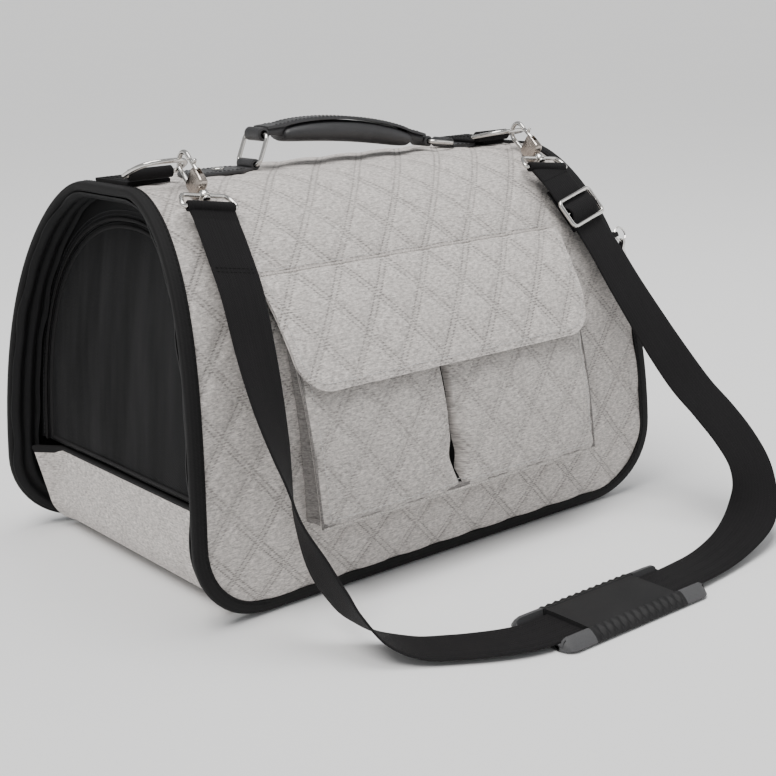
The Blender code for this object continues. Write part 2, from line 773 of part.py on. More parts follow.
def bow_side(end):
    """Direction from the bow's fixed leg towards its gate, square to the hook's length."""
    _, down, wide, sideways = hook_frame(end)
    face = sideways if end == "right" else (sideways + wide * 0.6).normalized()
    face = (face - down * face.dot(down)).normalized()
    return down.cross(face).normalized()


def make_hook(end):
    top, down, wide, _ = hook_frame(end)
    over = bow_side(end)
    face = over.cross(down).normalized()
    at = lambda t, u, v=0.0: top + down * t + over * u + face * v
    radius = 0.0075
    centre_t = 0.0018 + radius
    rail = [at(0.027, -radius), at(0.020, -radius)]
    for turn in np.linspace(0, math.pi, 11):
        rail.append(at(centre_t - radius * math.sin(turn), -radius * math.cos(turn)))
    rail.append(at(0.0145, radius))
    bm = bmesh.new()
    add_wire(bm, rail, 0.0018, face, 8)
    hook = finish("hook_body_" + end, bm, steel(), strap_ring_apex(end))

    def block(b):
        shape = ((0.0240, 0.0080), (0.0265, 0.0095), (0.0340, 0.0080), (0.0405, 0.0042))
        edge = [(t, u) for t, u in shape] + [(t, -u) for t, u in reversed(shape)]
        add_sweep(b, [[at(t, u, v) for t, u in edge] for v in (-0.0032, 0.0032)])

    combine(hook, "UNION", "block", block)
    combine(hook, "UNION", "stem", lambda b: add_rod(b, at(0.0390, 0), at(0.0495, 0), 0.0018, 12))
    combine(hook, "UNION", "head", lambda b: add_rod(b, at(0.0482, 0), at(0.0500, 0), 0.0032, 12))
    bore = at(0.0225, radius), at(0.0420, radius)
    combine(hook, "DIFFERENCE", "gate_bore", lambda b: add_rod(b, *bore, 0.0020, 12))

    bm = bmesh.new()
    add_rod(bm, at(0.0149, radius), at(0.0290, radius), 0.0015, 12)
    gate = finish("hook_gate_" + end, bm, steel(), at(0.0149, radius))
    stud = at(0.0205, radius - 0.0005), at(0.0205, radius + 0.0050)
    combine(gate, "UNION", "thumb_stud", lambda b: add_rod(b, *stud, 0.0013, 10))

    bar = HOOK_LENGTH
    rail = []
    for t, w in ((0.0450, 0.0175), (0.0475, 0.0195), (bar - 0.0020, 0.0222), (bar, 0.0205)):
        rail.append(top + down * t + wide * w)
    for t, w in ((bar, 0.0205), (bar - 0.0020, 0.0222), (0.0475, 0.0195), (0.0450, 0.0175)):
        rail.append(top + down * t - wide * w)
    bm = bmesh.new()
    add_wire(bm, rail, 0.0017, down.cross(wide).normalized(), 8, closed=True)
    eye = finish("hook_eye_" + end, bm, steel(), at(0.0450, 0))
    combine(eye, "UNION", "hub", lambda b: add_rod(b, at(0.0422, 0), at(0.0476, 0), 0.0042, 14))
    combine(eye, "DIFFERENCE", "hub_bore", lambda b: add_rod(b, at(0.0400, 0), at(0.0500, 0), 0.0023, 14))
    return hook, gate, eye


# ---------------------------------------------------------------- shoulder strap
def spline(points, per_span):
    """Smooth curve through all points, by Catmull-Rom spans."""
    points = [np.array(p, float) for p in points]
    ends = [2 * points[0] - points[1]] + points + [2 * points[-1] - points[-2]]
    made = []
    for a, b, c, d in zip(ends, ends[1:], ends[2:], ends[3:]):
        for step in range(per_span):
            t = step / per_span
            made.append(0.5 * (2 * b + (c - a) * t + (2 * a - 5 * b + 4 * c - d) * t**2
                               + (3 * b - a - 3 * c + d) * t**3))
    made.append(points[-1])
    return made


def webbing_frames(route, per_span=2):
    """(middle, across, face) at each station of the route."""
    stations = spline(route, per_span)
    middles = [Vector(p[:3]) for p in stations]
    frames = []
    for middle, along, station in zip(middles, tangents(middles), stations):
        heading = math.radians(station[3])
        across = Vector((math.cos(heading), math.sin(heading), 0))
        across = (across - along * across.dot(along)).normalized()
        frames.append((middle, across, along.cross(across).normalized()))
    return frames


def add_webbing(bm, frames, width=WEBBING, thick=WEB_THICK, lift=0.0):
    sections = []
    for middle, across, face in frames:
        middle = middle + face * lift
        side, skin = across * width / 2, face * thick / 2
        low, high = middle - skin, middle + skin
        sections.append([low - side, low + side, high + side, high - side])
    add_sweep(bm, sections)


def make_strap():
    frames = webbing_frames(STRAP_ROUTE)
    bm = bmesh.new()
    add_webbing(bm, frames)
    web = finish("strap_webbing", bm, webbing())
    for end in ("left", "right"):
        top, down, wide, _ = hook_frame(end)
        bar, half = top + down * HOOK_LENGTH, wide * WEBBING / 2
        first = frames[0][0] if end == "left" else frames[-1][0]
        along = (first - bar).normalized()
        skin = along.cross(wide).normalized() * 0.0012
        rows = (bar + along * 0.0028, first + along * 0.0020)
        bridge = [[p - half - skin, p + half - skin, p + half + skin, p - half + skin] for p in rows]
        combine(web, "UNION", "bridge_" + end, lambda b: add_sweep(b, bridge))
        combine(web, "UNION", "roll_" + end, lambda b: add_rod(b, bar - half, bar + half, 0.0040, 14))
        bore = bar - half * 1.3, bar + half * 1.3
        combine(web, "DIFFERENCE", "eye_" + end, lambda b: add_rod(b, *bore, 0.0022, 12))
    middles = [f[0] for f in frames]
    steps = [(b - a).length for a, b in zip(middles, middles[1:])]
    total, run, place = sum(steps), 0.0, 0
    while run < SLIDER_AT * total:
        run += steps[place]
        place += 1
    return web, frames, place


def make_slider(frames, place):
    """Tri-glide slider round the webbing: a frame with a bar across its middle."""
    middle, across, face = frames[place]
    along = across.cross(face).normalized()
    out = face if face.y < 0 else -face
    centre = middle + out * 0.0036
    rail = loop_rail(centre, along, across, 0.0118, 0.0225, 0.0040)
    bm = bmesh.new()
    add_wire(bm, rail, 0.0017, along.cross(across).normalized(), 8, closed=True)
    slider = finish("strap_slider", bm, steel(), centre)
    bar = across * 0.0224
    combine(slider, "UNION", "middle_bar", lambda b: add_rod(b, centre - bar, centre + bar, 0.0015, 8))

    back = [(m - out * 0.0030, a, f) for m, a, f in frames[place - 1:-1]]
    bm = bmesh.new()
    add_webbing(bm, back)
    tail = finish("strap_return", bm, webbing())
    return slider, tail


def make_pad():
    """Rubber shoulder pad: the webbing runs over its ends and under its middle bridge."""
    half = PAD_SIZE / 2
    outline = []
    for sx, sy, start in ((1, 1, 0), (-1, 1, 90), (-1, -1, 180), (1, -1, 270)):
        for step in range(4):
            turn = math.radians(start + 30 * step)
            x = sx * (half.x - 0.009) + 0.009 * math.cos(turn)
            outline.append((x, sy * (half.y - 0.009) + 0.009 * math.sin(turn)))
    sections = []
    for z, inset in ((0.0006, 0.0012), (0.0022, 0.0), (0.0058, 0.0008), (PAD_SIZE.z, 0.0052)):
        section = []
        for x, y in outline:
            section.append(PAD_PLACE + Vector((x * (1 - inset / half.x), y * (1 - inset / half.y), z)))
        sections.append(section)
    bm = bmesh.new()
    add_sweep(bm, sections)
    pad = finish("shoulder_pad", bm, pad_rubber(), PAD_PLACE)
    channel = WEBBING / 2 + 0.0022
    place = PAD_PLACE
    combine(pad, "DIFFERENCE", "channel", lambda b: add_box(
        b, place + Vector((-0.09, -channel, 0.0030)), place + Vector((0.09, channel, 0.0068))))
    for name, sx in (("left", -1), ("right", 1)):
        combine(pad, "DIFFERENCE", "mouth_" + name, lambda b, sx=sx: add_box(
            b, place + Vector((sx * 0.045, -channel, 0.0040)), place + Vector((sx * 0.09, channel, 0.020))))

    def ribs(b):
        for sy in (-1, 1):
            for k in range(12):
                x = -0.0385 + 0.007 * k
                add_box(b, place + Vector((x - 0.0015, sy * 0.0265, 0.0024)),
                        place + Vector((x + 0.0015, sy * 0.034, 0.0150)))

    combine(pad, "DIFFERENCE", "ribs", ribs)
    return pad


# ---------------------------------------------------------------- rim clip at the right end
def make_lock_clip():
    """Small trigger clip that hangs from a wire ring in a tape loop on the right end's rim."""
    level = 0.222
    s = arc_at_height(level)
    up = (on_wrap(0, s + 0.002) - on_wrap(0, s - 0.002)).normalized()
    edge = Vector((1, 0, 0))
    out = edge.cross(up).normalized()
    root = on_wrap(reach(level), s, -0.0026)
    tape_at = lambda a, c, d: root + edge * a + up * c + out * d
    sections = []
    for a, half in ((0.0005, 0.0024), (0.0040, 0.0022), (0.0066, 0.0018)):
        section = [tape_at(a, -half, -0.0019), tape_at(a, half, -0.0019), tape_at(a, half, 0.0019)]
        sections.append(section + [tape_at(a, -half, 0.0019)])
    bm = bmesh.new()
    add_sweep(bm, sections)
    loop = finish("lock_loop_right", bm, tape())
    bore = tape_at(0.0044, -0.01, 0), tape_at(0.0044, 0.01, 0)
    combine(loop, "DIFFERENCE", "eye", lambda b: add_rod(b, *bore, 0.0014, 10))

    radius = 0.0060
    centre = tape_at(0.0044, 0, 0) + edge * radius
    rail = []
    for turn in np.linspace(0, 2 * math.pi, 17)[:-1]:
        rail.append(centre + edge * radius * math.cos(turn) + up * radius * math.sin(turn))
    bm = bmesh.new()
    add_wire(bm, rail, 0.0008, out, 8, closed=True)
    ring = finish("lock_ring_right", bm, steel())

    pivot = centre - up * radius
    at = lambda x, t, u: pivot + Vector((x, u, -t))
    shape = ((-0.0018, 0.0022), (0.0020, 0.0026), (0.0060, 0.0016), (0.0110, 0.0040))
    shape += ((0.0220, 0.0046), (0.0290, 0.0034), (0.0330, 0.0012))
    outline = [(t, u) for t, u in shape] + [(t, -u) for t, u in reversed(shape)]
    bm = bmesh.new()
    add_sweep(bm, [[at(x, t, u) for t, u in outline] for x in (-0.0012, 0.0012)])
    clip = finish("lock_clip_right", bm, steel(), pivot)
    combine(clip, "DIFFERENCE", "eye", lambda b: add_rod(b, at(-0.01, 0, 0), at(0.01, 0, 0), 0.0012, 10))
    shape = ((0.0130, 0.0018), (0.0200, 0.0026), (0.0270, 0.0018))
    hole = [(t, u) for t, u in shape] + [(t, -u) for t, u in reversed(shape)]
    jaw = [[at(x, t, u) for t, u in hole] for x in (-0.01, 0.01)]
    combine(clip, "DIFFERENCE", "jaw", lambda b: add_sweep(b, jaw))
    return loop, ring, clip


# ---------------------------------------------------------------- assembly
def main():
    for old in list(bpy.data.objects):
        bpy.data.objects.remove(old)
    make_wrap()
    make_binding()
    make_base()
    make_mat()
    for end, side in (("left", -1), ("right", 1)):
        make_gusset("gusset_" + end, side)
        make_end_frame("end_frame_" + end, side)
        make_zip_track("zip_track_" + end, side)
        make_door("end_door_" + end, side)
        make_zip_slider(end, side)
        make_handle_tab("handle_tab_" + end, side)
        make_handle_ring("handle_ring_" + end, side)
        make_strap_tab(end)
        make_strap_ring(end)
        make_hook(end)
    make_rivet()
    make_pocket()
    make_flap()
    make_handle()
    web, frames, place = make_strap()
    make_slider(frames, place)
    make_pad()
    make_lock_clip()


main()
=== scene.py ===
"""Looks for the soft pet carrier bag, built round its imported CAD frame. Metres, +Z up."""

import json
import math

import bmesh
import bpy
import numpy as np
from mathutils import Matrix, Vector
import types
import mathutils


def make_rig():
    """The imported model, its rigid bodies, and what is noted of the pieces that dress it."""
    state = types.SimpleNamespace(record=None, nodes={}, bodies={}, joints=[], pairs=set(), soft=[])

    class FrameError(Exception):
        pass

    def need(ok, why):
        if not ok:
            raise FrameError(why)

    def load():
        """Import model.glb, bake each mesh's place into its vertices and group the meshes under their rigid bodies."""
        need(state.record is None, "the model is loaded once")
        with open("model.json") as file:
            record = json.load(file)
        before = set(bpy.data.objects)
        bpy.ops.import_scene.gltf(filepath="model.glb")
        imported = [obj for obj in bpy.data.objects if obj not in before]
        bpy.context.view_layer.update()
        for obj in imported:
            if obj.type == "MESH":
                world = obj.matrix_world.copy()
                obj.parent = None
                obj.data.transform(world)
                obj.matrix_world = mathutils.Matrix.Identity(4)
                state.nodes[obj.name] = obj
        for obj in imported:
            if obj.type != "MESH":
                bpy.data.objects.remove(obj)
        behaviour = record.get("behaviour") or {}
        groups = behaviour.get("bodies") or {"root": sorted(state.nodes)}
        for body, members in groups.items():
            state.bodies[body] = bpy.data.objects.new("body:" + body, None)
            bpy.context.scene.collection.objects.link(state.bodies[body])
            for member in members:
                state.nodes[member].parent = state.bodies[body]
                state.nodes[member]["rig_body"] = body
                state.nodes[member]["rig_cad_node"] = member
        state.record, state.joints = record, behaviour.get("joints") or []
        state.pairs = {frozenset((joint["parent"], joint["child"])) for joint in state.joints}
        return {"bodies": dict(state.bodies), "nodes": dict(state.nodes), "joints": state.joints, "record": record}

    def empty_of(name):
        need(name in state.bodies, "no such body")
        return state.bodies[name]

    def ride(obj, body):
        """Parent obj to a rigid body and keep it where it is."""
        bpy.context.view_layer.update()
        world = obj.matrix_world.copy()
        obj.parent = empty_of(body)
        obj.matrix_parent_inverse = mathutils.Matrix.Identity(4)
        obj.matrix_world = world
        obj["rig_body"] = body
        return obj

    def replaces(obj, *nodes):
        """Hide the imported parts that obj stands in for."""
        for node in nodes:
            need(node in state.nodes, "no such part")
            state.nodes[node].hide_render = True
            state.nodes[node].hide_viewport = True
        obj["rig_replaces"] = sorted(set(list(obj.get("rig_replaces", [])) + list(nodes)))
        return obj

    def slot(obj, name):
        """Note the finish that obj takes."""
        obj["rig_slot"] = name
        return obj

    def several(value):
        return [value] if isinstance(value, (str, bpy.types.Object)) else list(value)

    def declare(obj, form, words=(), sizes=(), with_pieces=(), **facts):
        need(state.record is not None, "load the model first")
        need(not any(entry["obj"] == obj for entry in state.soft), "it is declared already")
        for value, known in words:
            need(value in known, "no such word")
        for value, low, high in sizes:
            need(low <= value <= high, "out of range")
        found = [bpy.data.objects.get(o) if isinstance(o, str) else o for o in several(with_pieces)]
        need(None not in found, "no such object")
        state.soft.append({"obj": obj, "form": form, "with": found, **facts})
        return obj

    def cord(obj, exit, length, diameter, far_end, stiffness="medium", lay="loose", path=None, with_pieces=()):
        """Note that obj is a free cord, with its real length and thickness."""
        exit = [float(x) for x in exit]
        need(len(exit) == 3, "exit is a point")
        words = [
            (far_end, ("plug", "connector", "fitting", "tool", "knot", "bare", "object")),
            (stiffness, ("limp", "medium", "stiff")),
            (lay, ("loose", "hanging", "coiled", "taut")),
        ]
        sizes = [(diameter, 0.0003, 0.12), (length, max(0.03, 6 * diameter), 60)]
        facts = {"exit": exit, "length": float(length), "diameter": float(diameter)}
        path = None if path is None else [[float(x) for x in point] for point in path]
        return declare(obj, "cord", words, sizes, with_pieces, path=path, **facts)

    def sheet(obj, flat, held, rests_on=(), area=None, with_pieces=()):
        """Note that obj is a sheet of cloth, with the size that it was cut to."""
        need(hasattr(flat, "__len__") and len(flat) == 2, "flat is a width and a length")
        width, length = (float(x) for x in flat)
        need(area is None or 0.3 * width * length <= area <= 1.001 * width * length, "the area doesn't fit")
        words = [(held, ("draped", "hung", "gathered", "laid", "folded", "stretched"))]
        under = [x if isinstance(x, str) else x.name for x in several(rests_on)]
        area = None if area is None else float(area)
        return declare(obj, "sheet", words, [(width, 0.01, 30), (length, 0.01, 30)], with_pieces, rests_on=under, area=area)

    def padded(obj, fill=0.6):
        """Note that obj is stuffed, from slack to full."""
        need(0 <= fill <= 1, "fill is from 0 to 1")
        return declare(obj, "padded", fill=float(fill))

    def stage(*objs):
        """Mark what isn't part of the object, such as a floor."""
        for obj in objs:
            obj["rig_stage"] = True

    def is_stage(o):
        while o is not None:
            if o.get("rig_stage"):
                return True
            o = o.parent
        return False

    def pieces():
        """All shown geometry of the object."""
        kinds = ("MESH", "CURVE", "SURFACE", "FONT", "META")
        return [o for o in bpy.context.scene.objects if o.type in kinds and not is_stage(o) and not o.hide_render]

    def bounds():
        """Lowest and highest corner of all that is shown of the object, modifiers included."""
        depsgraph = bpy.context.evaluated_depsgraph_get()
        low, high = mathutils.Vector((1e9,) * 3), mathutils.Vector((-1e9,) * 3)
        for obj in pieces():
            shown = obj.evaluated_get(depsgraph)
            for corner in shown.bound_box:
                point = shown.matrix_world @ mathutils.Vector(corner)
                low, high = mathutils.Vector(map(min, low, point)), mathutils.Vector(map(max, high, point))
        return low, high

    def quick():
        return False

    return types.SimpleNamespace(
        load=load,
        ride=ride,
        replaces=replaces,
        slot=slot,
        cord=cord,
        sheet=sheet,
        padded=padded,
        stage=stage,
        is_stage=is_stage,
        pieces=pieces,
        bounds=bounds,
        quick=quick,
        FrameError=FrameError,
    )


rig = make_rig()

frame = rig.load()
CAD_BOX = [[float(c) for c in corner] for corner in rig.bounds()]

# ---------------------------------------------------------------- dimensions, as in the CAD part
LENGTH, HEIGHT = 0.460, 0.296
TOP_HALF, BULGE_HALF = 0.034, 0.148
END_TAPER, FOOT_TUCK, CORNER_R = 0.030, 0.008, 0.064
FELT, BINDING_W, END_RECESS = 0.0046, 0.0104, 0.0275
BASE_END_X, BAND_TOP = 0.200, 0.075
DOOR_BASE, DOOR_RISE, DOOR_HALF = 0.0785, 0.188, 0.1235
SEAM_Z, FLAP_DROP, FLAP_HALF = 0.234, 0.085, 0.147
POCKET_HALF, POCKET_LOW_Z, POCKET_TOP_Z = 0.137, 0.062, 0.185
POCKET_DEPTH, POCKET_MOUTH = 0.024, 0.0120
HANDLE_RING = 0.024
LEFT_PIVOT, RIGHT_PIVOT = Vector((-0.072, 0, 0.3002)), Vector((0.127, 0, 0.3002))
LEFT_LEAN, RIGHT_LEAN = math.radians(23), math.radians(82)
WEBBING, WEB_THICK = 0.038, 0.0018
TAB_X = {"left": -0.1695, "right": 0.1655}
TAB_BAR = (-0.020, 0.3038)
STRAP_RING_HALF, STRAP_RING_DEPTH = 0.0215, 0.0275
HOOK_LENGTH, HOOK_GRIP = 0.057, 0.0066
HOOKS = {
    "left": (-0.1560, 22.0, Vector((-0.080, -0.810, -0.578)), 12),
    "right": (0.1693, 11.0, Vector((-0.110, -0.828, -0.549)), 5),
}
STRAP_ROUTE = (
    (-0.1603, -0.0905, 0.2762, 9.5),
    (-0.1635, -0.1080, 0.2570, 9),
    (-0.1680, -0.1310, 0.2290, 10),
    (-0.1730, -0.1510, 0.1930, 15),
    (-0.1755, -0.1660, 0.1610, 25),
    (-0.1755, -0.1765, 0.1340, 38),
    (-0.1750, -0.1845, 0.1110, 52),
    (-0.1750, -0.1920, 0.0880, 64),
    (-0.1735, -0.2000, 0.0710, 76),
    (-0.1710, -0.2100, 0.0550, 86),
    (-0.1670, -0.2210, 0.0400, 88),
    (-0.1610, -0.2350, 0.0255, 86),
    (-0.1500, -0.2510, 0.0125, 78),
    (-0.1330, -0.2670, 0.0052, 68),
    (-0.1130, -0.2810, 0.0042, 68),
    (-0.0930, -0.2935, 0.0046, 74),
    (-0.0760, -0.3015, 0.0050, 83),
    (-0.0600, -0.3047, 0.0050, 89),
    (-0.0300, -0.3050, 0.0050, 90),
    (0.0100, -0.3050, 0.0050, 90),
    (0.0500, -0.3050, 0.0050, 90),
    (0.0780, -0.3048, 0.0050, 91),
    (0.0980, -0.3030, 0.0047, 93),
    (0.1220, -0.3005, 0.0050, 96),
    (0.1460, -0.2970, 0.0075, 104),
    (0.1700, -0.2925, 0.0130, 118),
    (0.1900, -0.2870, 0.0225, 138),
    (0.2030, -0.2800, 0.0370, 155),
    (0.2090, -0.2690, 0.0560, 162),
    (0.2100, -0.2520, 0.0745, 161),
    (0.2080, -0.2330, 0.0920, 160),
    (0.2050, -0.2120, 0.1100, 162),
    (0.2010, -0.1920, 0.1330, 166),
    (0.1965, -0.1720, 0.1590, 172),
    (0.1905, -0.1530, 0.1870, 178),
    (0.1840, -0.1370, 0.2140, 182),
    (0.1775, -0.1235, 0.2360, 185),
    (0.1700, -0.1085, 0.2590, 185),
    (0.1652, -0.0965, 0.2745, 185),
)
SLIDER_AT = 0.955
PAD_SIZE, PAD_PLACE = Vector((0.145, 0.062, 0.0095)), Vector((0.010, -0.305, 0.0))
QUILT_PITCH, QUILT_SLOPE, QUILT_S = 0.041, 0.79, 0.190
QUILT_ROWS = ((1, 0.0047), (-1, 0.0108))    # lean and shift of the two families of stitched rows
ARCH_POWER, SIDE_POWER, DOOR_POWER, TAPER_POWER = 0.625, 1.176, 0.909, 2.08
TUCK_X, TUCK_LEAN = -0.0095, 0.0035         # the pocket's centre tuck at the mouth, and its drift
FLAP_CORNER = 0.024
WIRE_R, DEE_POWER = 0.0017, 0.62
UP, ACROSS, SIDEWAYS = Vector((0, 0, 1)), Vector((0, 1, 0)), Vector((1, 0, 0))
ENDS = (("left", -1), ("right", 1))


# ---------------------------------------------------------------- camera, floor and light
def make_camera():
    yaw, pitch, roll = math.radians(38.43), math.radians(-15.15), -0.0322
    ahead = Vector((math.sin(yaw) * math.cos(pitch), math.cos(yaw) * math.cos(pitch), math.sin(pitch)))
    level = Vector((math.cos(yaw), -math.sin(yaw), 0))
    above = level.cross(ahead)
    right = level * math.cos(roll) + above * math.sin(roll)
    up = above * math.cos(roll) - level * math.sin(roll)
    data = bpy.data.cameras.new("camera")
    data.lens, data.sensor_width, data.sensor_fit = 66.2, 36, "HORIZONTAL"
    data.clip_start, data.clip_end = 0.05, 500
    camera = bpy.data.objects.new("camera", data)
    camera.matrix_world = Matrix((
        (right.x, up.x, -ahead.x, -0.683),
        (right.y, up.y, -ahead.y, -0.935),
        (right.z, up.z, -ahead.z, 0.418),
        (0, 0, 0, 1),
    ))
    bpy.context.scene.collection.objects.link(camera)
    bpy.context.scene.camera = camera


def add_light(name, place, aim, size, power):
    data = bpy.data.lights.new(name, "AREA")
    data.shape, data.size, data.energy = "DISK", size, power
    light = bpy.data.objects.new(name, data)
    light.location = place
    light.rotation_euler = (Vector(aim) - Vector(place)).to_track_quat("-Z", "Y").to_euler()
    bpy.context.scene.collection.objects.link(light)


def make_studio():
    """Pale floor that curves up far away, a broad sun from the front and two soft lights."""
    bm = bmesh.new()
    bmesh.ops.create_grid(bm, x_segments=90, y_segments=90, size=45)
    for vert in bm.verts:
        away = max(0.0, vert.co.length - 4.0)
        vert.co.z = 0.0045 * away**2
    for face in bm.faces:
        face.smooth = True
    mesh = bpy.data.meshes.new("studio_floor")
    bm.to_mesh(mesh)
    bm.free()
    floor = bpy.data.objects.new("studio_floor", mesh)
    floor.location.z = -0.0004
    bpy.context.scene.collection.objects.link(floor)
    paper = plain("studio_paper", (0.90, 0.90, 0.90), 0.9)
    mesh.materials.append(paper)
    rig.stage(floor)
    world = bpy.data.worlds.new("studio_world")
    world.use_nodes = True
    world.node_tree.nodes["Background"].inputs[0].default_value = (0.96, 0.98, 1.0, 1)
    world.node_tree.nodes["Background"].inputs[1].default_value = 0.42
    bpy.context.scene.world = world
    sun = bpy.data.lights.new("key", "SUN")
    sun.energy, sun.angle, sun.color = 2.35, 0.55, (1.0, 0.985, 0.965)
    key = bpy.data.objects.new("key", sun)
    key.rotation_euler = Vector((0.44, 0.15, -1.0)).to_track_quat("-Z", "Y").to_euler()
    bpy.context.scene.collection.objects.link(key)
    add_light("fill", (1.9, -1.2, 1.3), (0, 0, 0.12), 1.8, 8)
    add_light("top", (0.1, -0.1, 2.3), (0, 0, 0.15), 1.2, 24)


# ---------------------------------------------------------------- materials
class Nodes:
    """Short ways to add shader nodes to one material."""

    def __init__(self, name, colour, rough, metal=0.0, shine=0.5):
        self.mat = bpy.data.materials.new(name)
        self.mat.use_nodes = True
        self.tree = self.mat.node_tree
        self.shader = self.tree.nodes["Principled BSDF"]
        self.shader.inputs["Base Color"].default_value = (*colour, 1)
        self.shader.inputs["Roughness"].default_value = rough
        self.shader.inputs["Metallic"].default_value = metal
        self.shader.inputs["Specular IOR Level"].default_value = shine

    def link(self, socket, value):
        if isinstance(value, bpy.types.NodeSocket):
            self.tree.links.new(value, socket)
        else:
            socket.default_value = value

    def math(self, what, a, b=0.0, c=0.0):
        made = self.tree.nodes.new("ShaderNodeMath")
        made.operation = what
        for socket, value in zip(made.inputs, (a, b, c)):
            self.link(socket, value)
        return made.outputs[0]

    def place(self, source="UV", scale=(1, 1, 1), turn=0.0):
        """Texture coordinates, scaled and turned: UVs in metres, or the object's own."""
        at = self.tree.nodes.new("ShaderNodeTexCoord").outputs[source]
        made = self.tree.nodes.new("ShaderNodeMapping")
        made.inputs["Scale"].default_value = scale
        made.inputs["Rotation"].default_value = (0, 0, turn)
        self.link(made.inputs["Vector"], at)
        return made.outputs[0]

    def noise(self, place, scale, detail=3.0, rough=0.6):
        made = self.tree.nodes.new("ShaderNodeTexNoise")
        settings = (("Vector", place), ("Scale", scale), ("Detail", detail), ("Roughness", rough))
        for name, value in settings:
            self.link(made.inputs[name], value)
        return made.outputs["Fac"]

    def cells(self, place, scale):
        made = self.tree.nodes.new("ShaderNodeTexVoronoi")
        made.feature = "DISTANCE_TO_EDGE"
        self.link(made.inputs["Vector"], place)
        made.inputs["Scale"].default_value = scale
        return made.outputs["Distance"]

    def spread(self, value, low, high, to_low=0.0, to_high=1.0):
        made = self.tree.nodes.new("ShaderNodeMapRange")
        for socket, item in zip(made.inputs, (value, low, high, to_low, to_high)):
            self.link(socket, item)
        return made.outputs[0]

    def mix(self, share, a, b):
        made = self.tree.nodes.new("ShaderNodeMix")
        made.data_type = "RGBA"
        self.link(made.inputs[0], share)
        self.link(made.inputs[6], a if isinstance(a, bpy.types.NodeSocket) else (*a, 1))
        self.link(made.inputs[7], b if isinstance(b, bpy.types.NodeSocket) else (*b, 1))
        return made.outputs[2]

    def split(self, place):
        made = self.tree.nodes.new("ShaderNodeSeparateXYZ")
        self.link(made.inputs[0], place)
        return made.outputs

    def bump(self, height, distance, strength=1.0, under=None):
        made = self.tree.nodes.new("ShaderNodeBump")
        made.inputs["Distance"].default_value = distance
        made.inputs["Strength"].default_value = strength
        self.link(made.inputs["Height"], height)
        if under is not None:
            self.link(made.inputs["Normal"], under)
        return made.outputs[0]

    def done(self, colour=None, rough=None, normal=None):
        for name, value in (("Base Color", colour), ("Roughness", rough), ("Normal", normal)):
            if value is not None:
                self.link(self.shader.inputs[name], value)
        return self.mat


def plain(name, colour, rough):
    """A matt colour with a faint cloud in it."""
    made = Nodes(name, colour, rough)
    cloud = made.noise(made.place("Object"), 3.0)
    return made.done(colour=made.mix(cloud, [0.98 * c for c in colour], colour))


def quilt_lines(made, lean, shift):
    """(stitch mask, puff) of one family of double stitched rows, over UVs of (x, arc length)."""
    across, along, _ = made.split(made.place("UV"))
    steep = math.hypot(1, QUILT_SLOPE)
    shifted = made.math("SUBTRACT", across, shift)
    number = made.math("MULTIPLY_ADD", along, lean * QUILT_SLOPE, shifted)
    phase = made.math("FRACT", made.math("MULTIPLY_ADD", number, 1 / QUILT_PITCH, 40.5))
    aside = made.math("ABSOLUTE", made.math("SUBTRACT", phase, 0.5))
    off = made.math("MULTIPLY", aside, QUILT_PITCH / steep)
    row = made.math("ABSOLUTE", made.math("SUBTRACT", off, 0.0020))
    beat = made.math("FRACT", made.math("MULTIPLY_ADD", along, steep / 0.0026, 300.0))
    dash = made.spread(made.math("ABSOLUTE", made.math("SUBTRACT", beat, 0.5)), 0.17, 0.34)
    mask = made.math("MULTIPLY", made.spread(row, 0.0004, 0.0010, 1, 0), dash)
    return mask, made.spread(off, 0.0010, 0.0075, 0, 1)


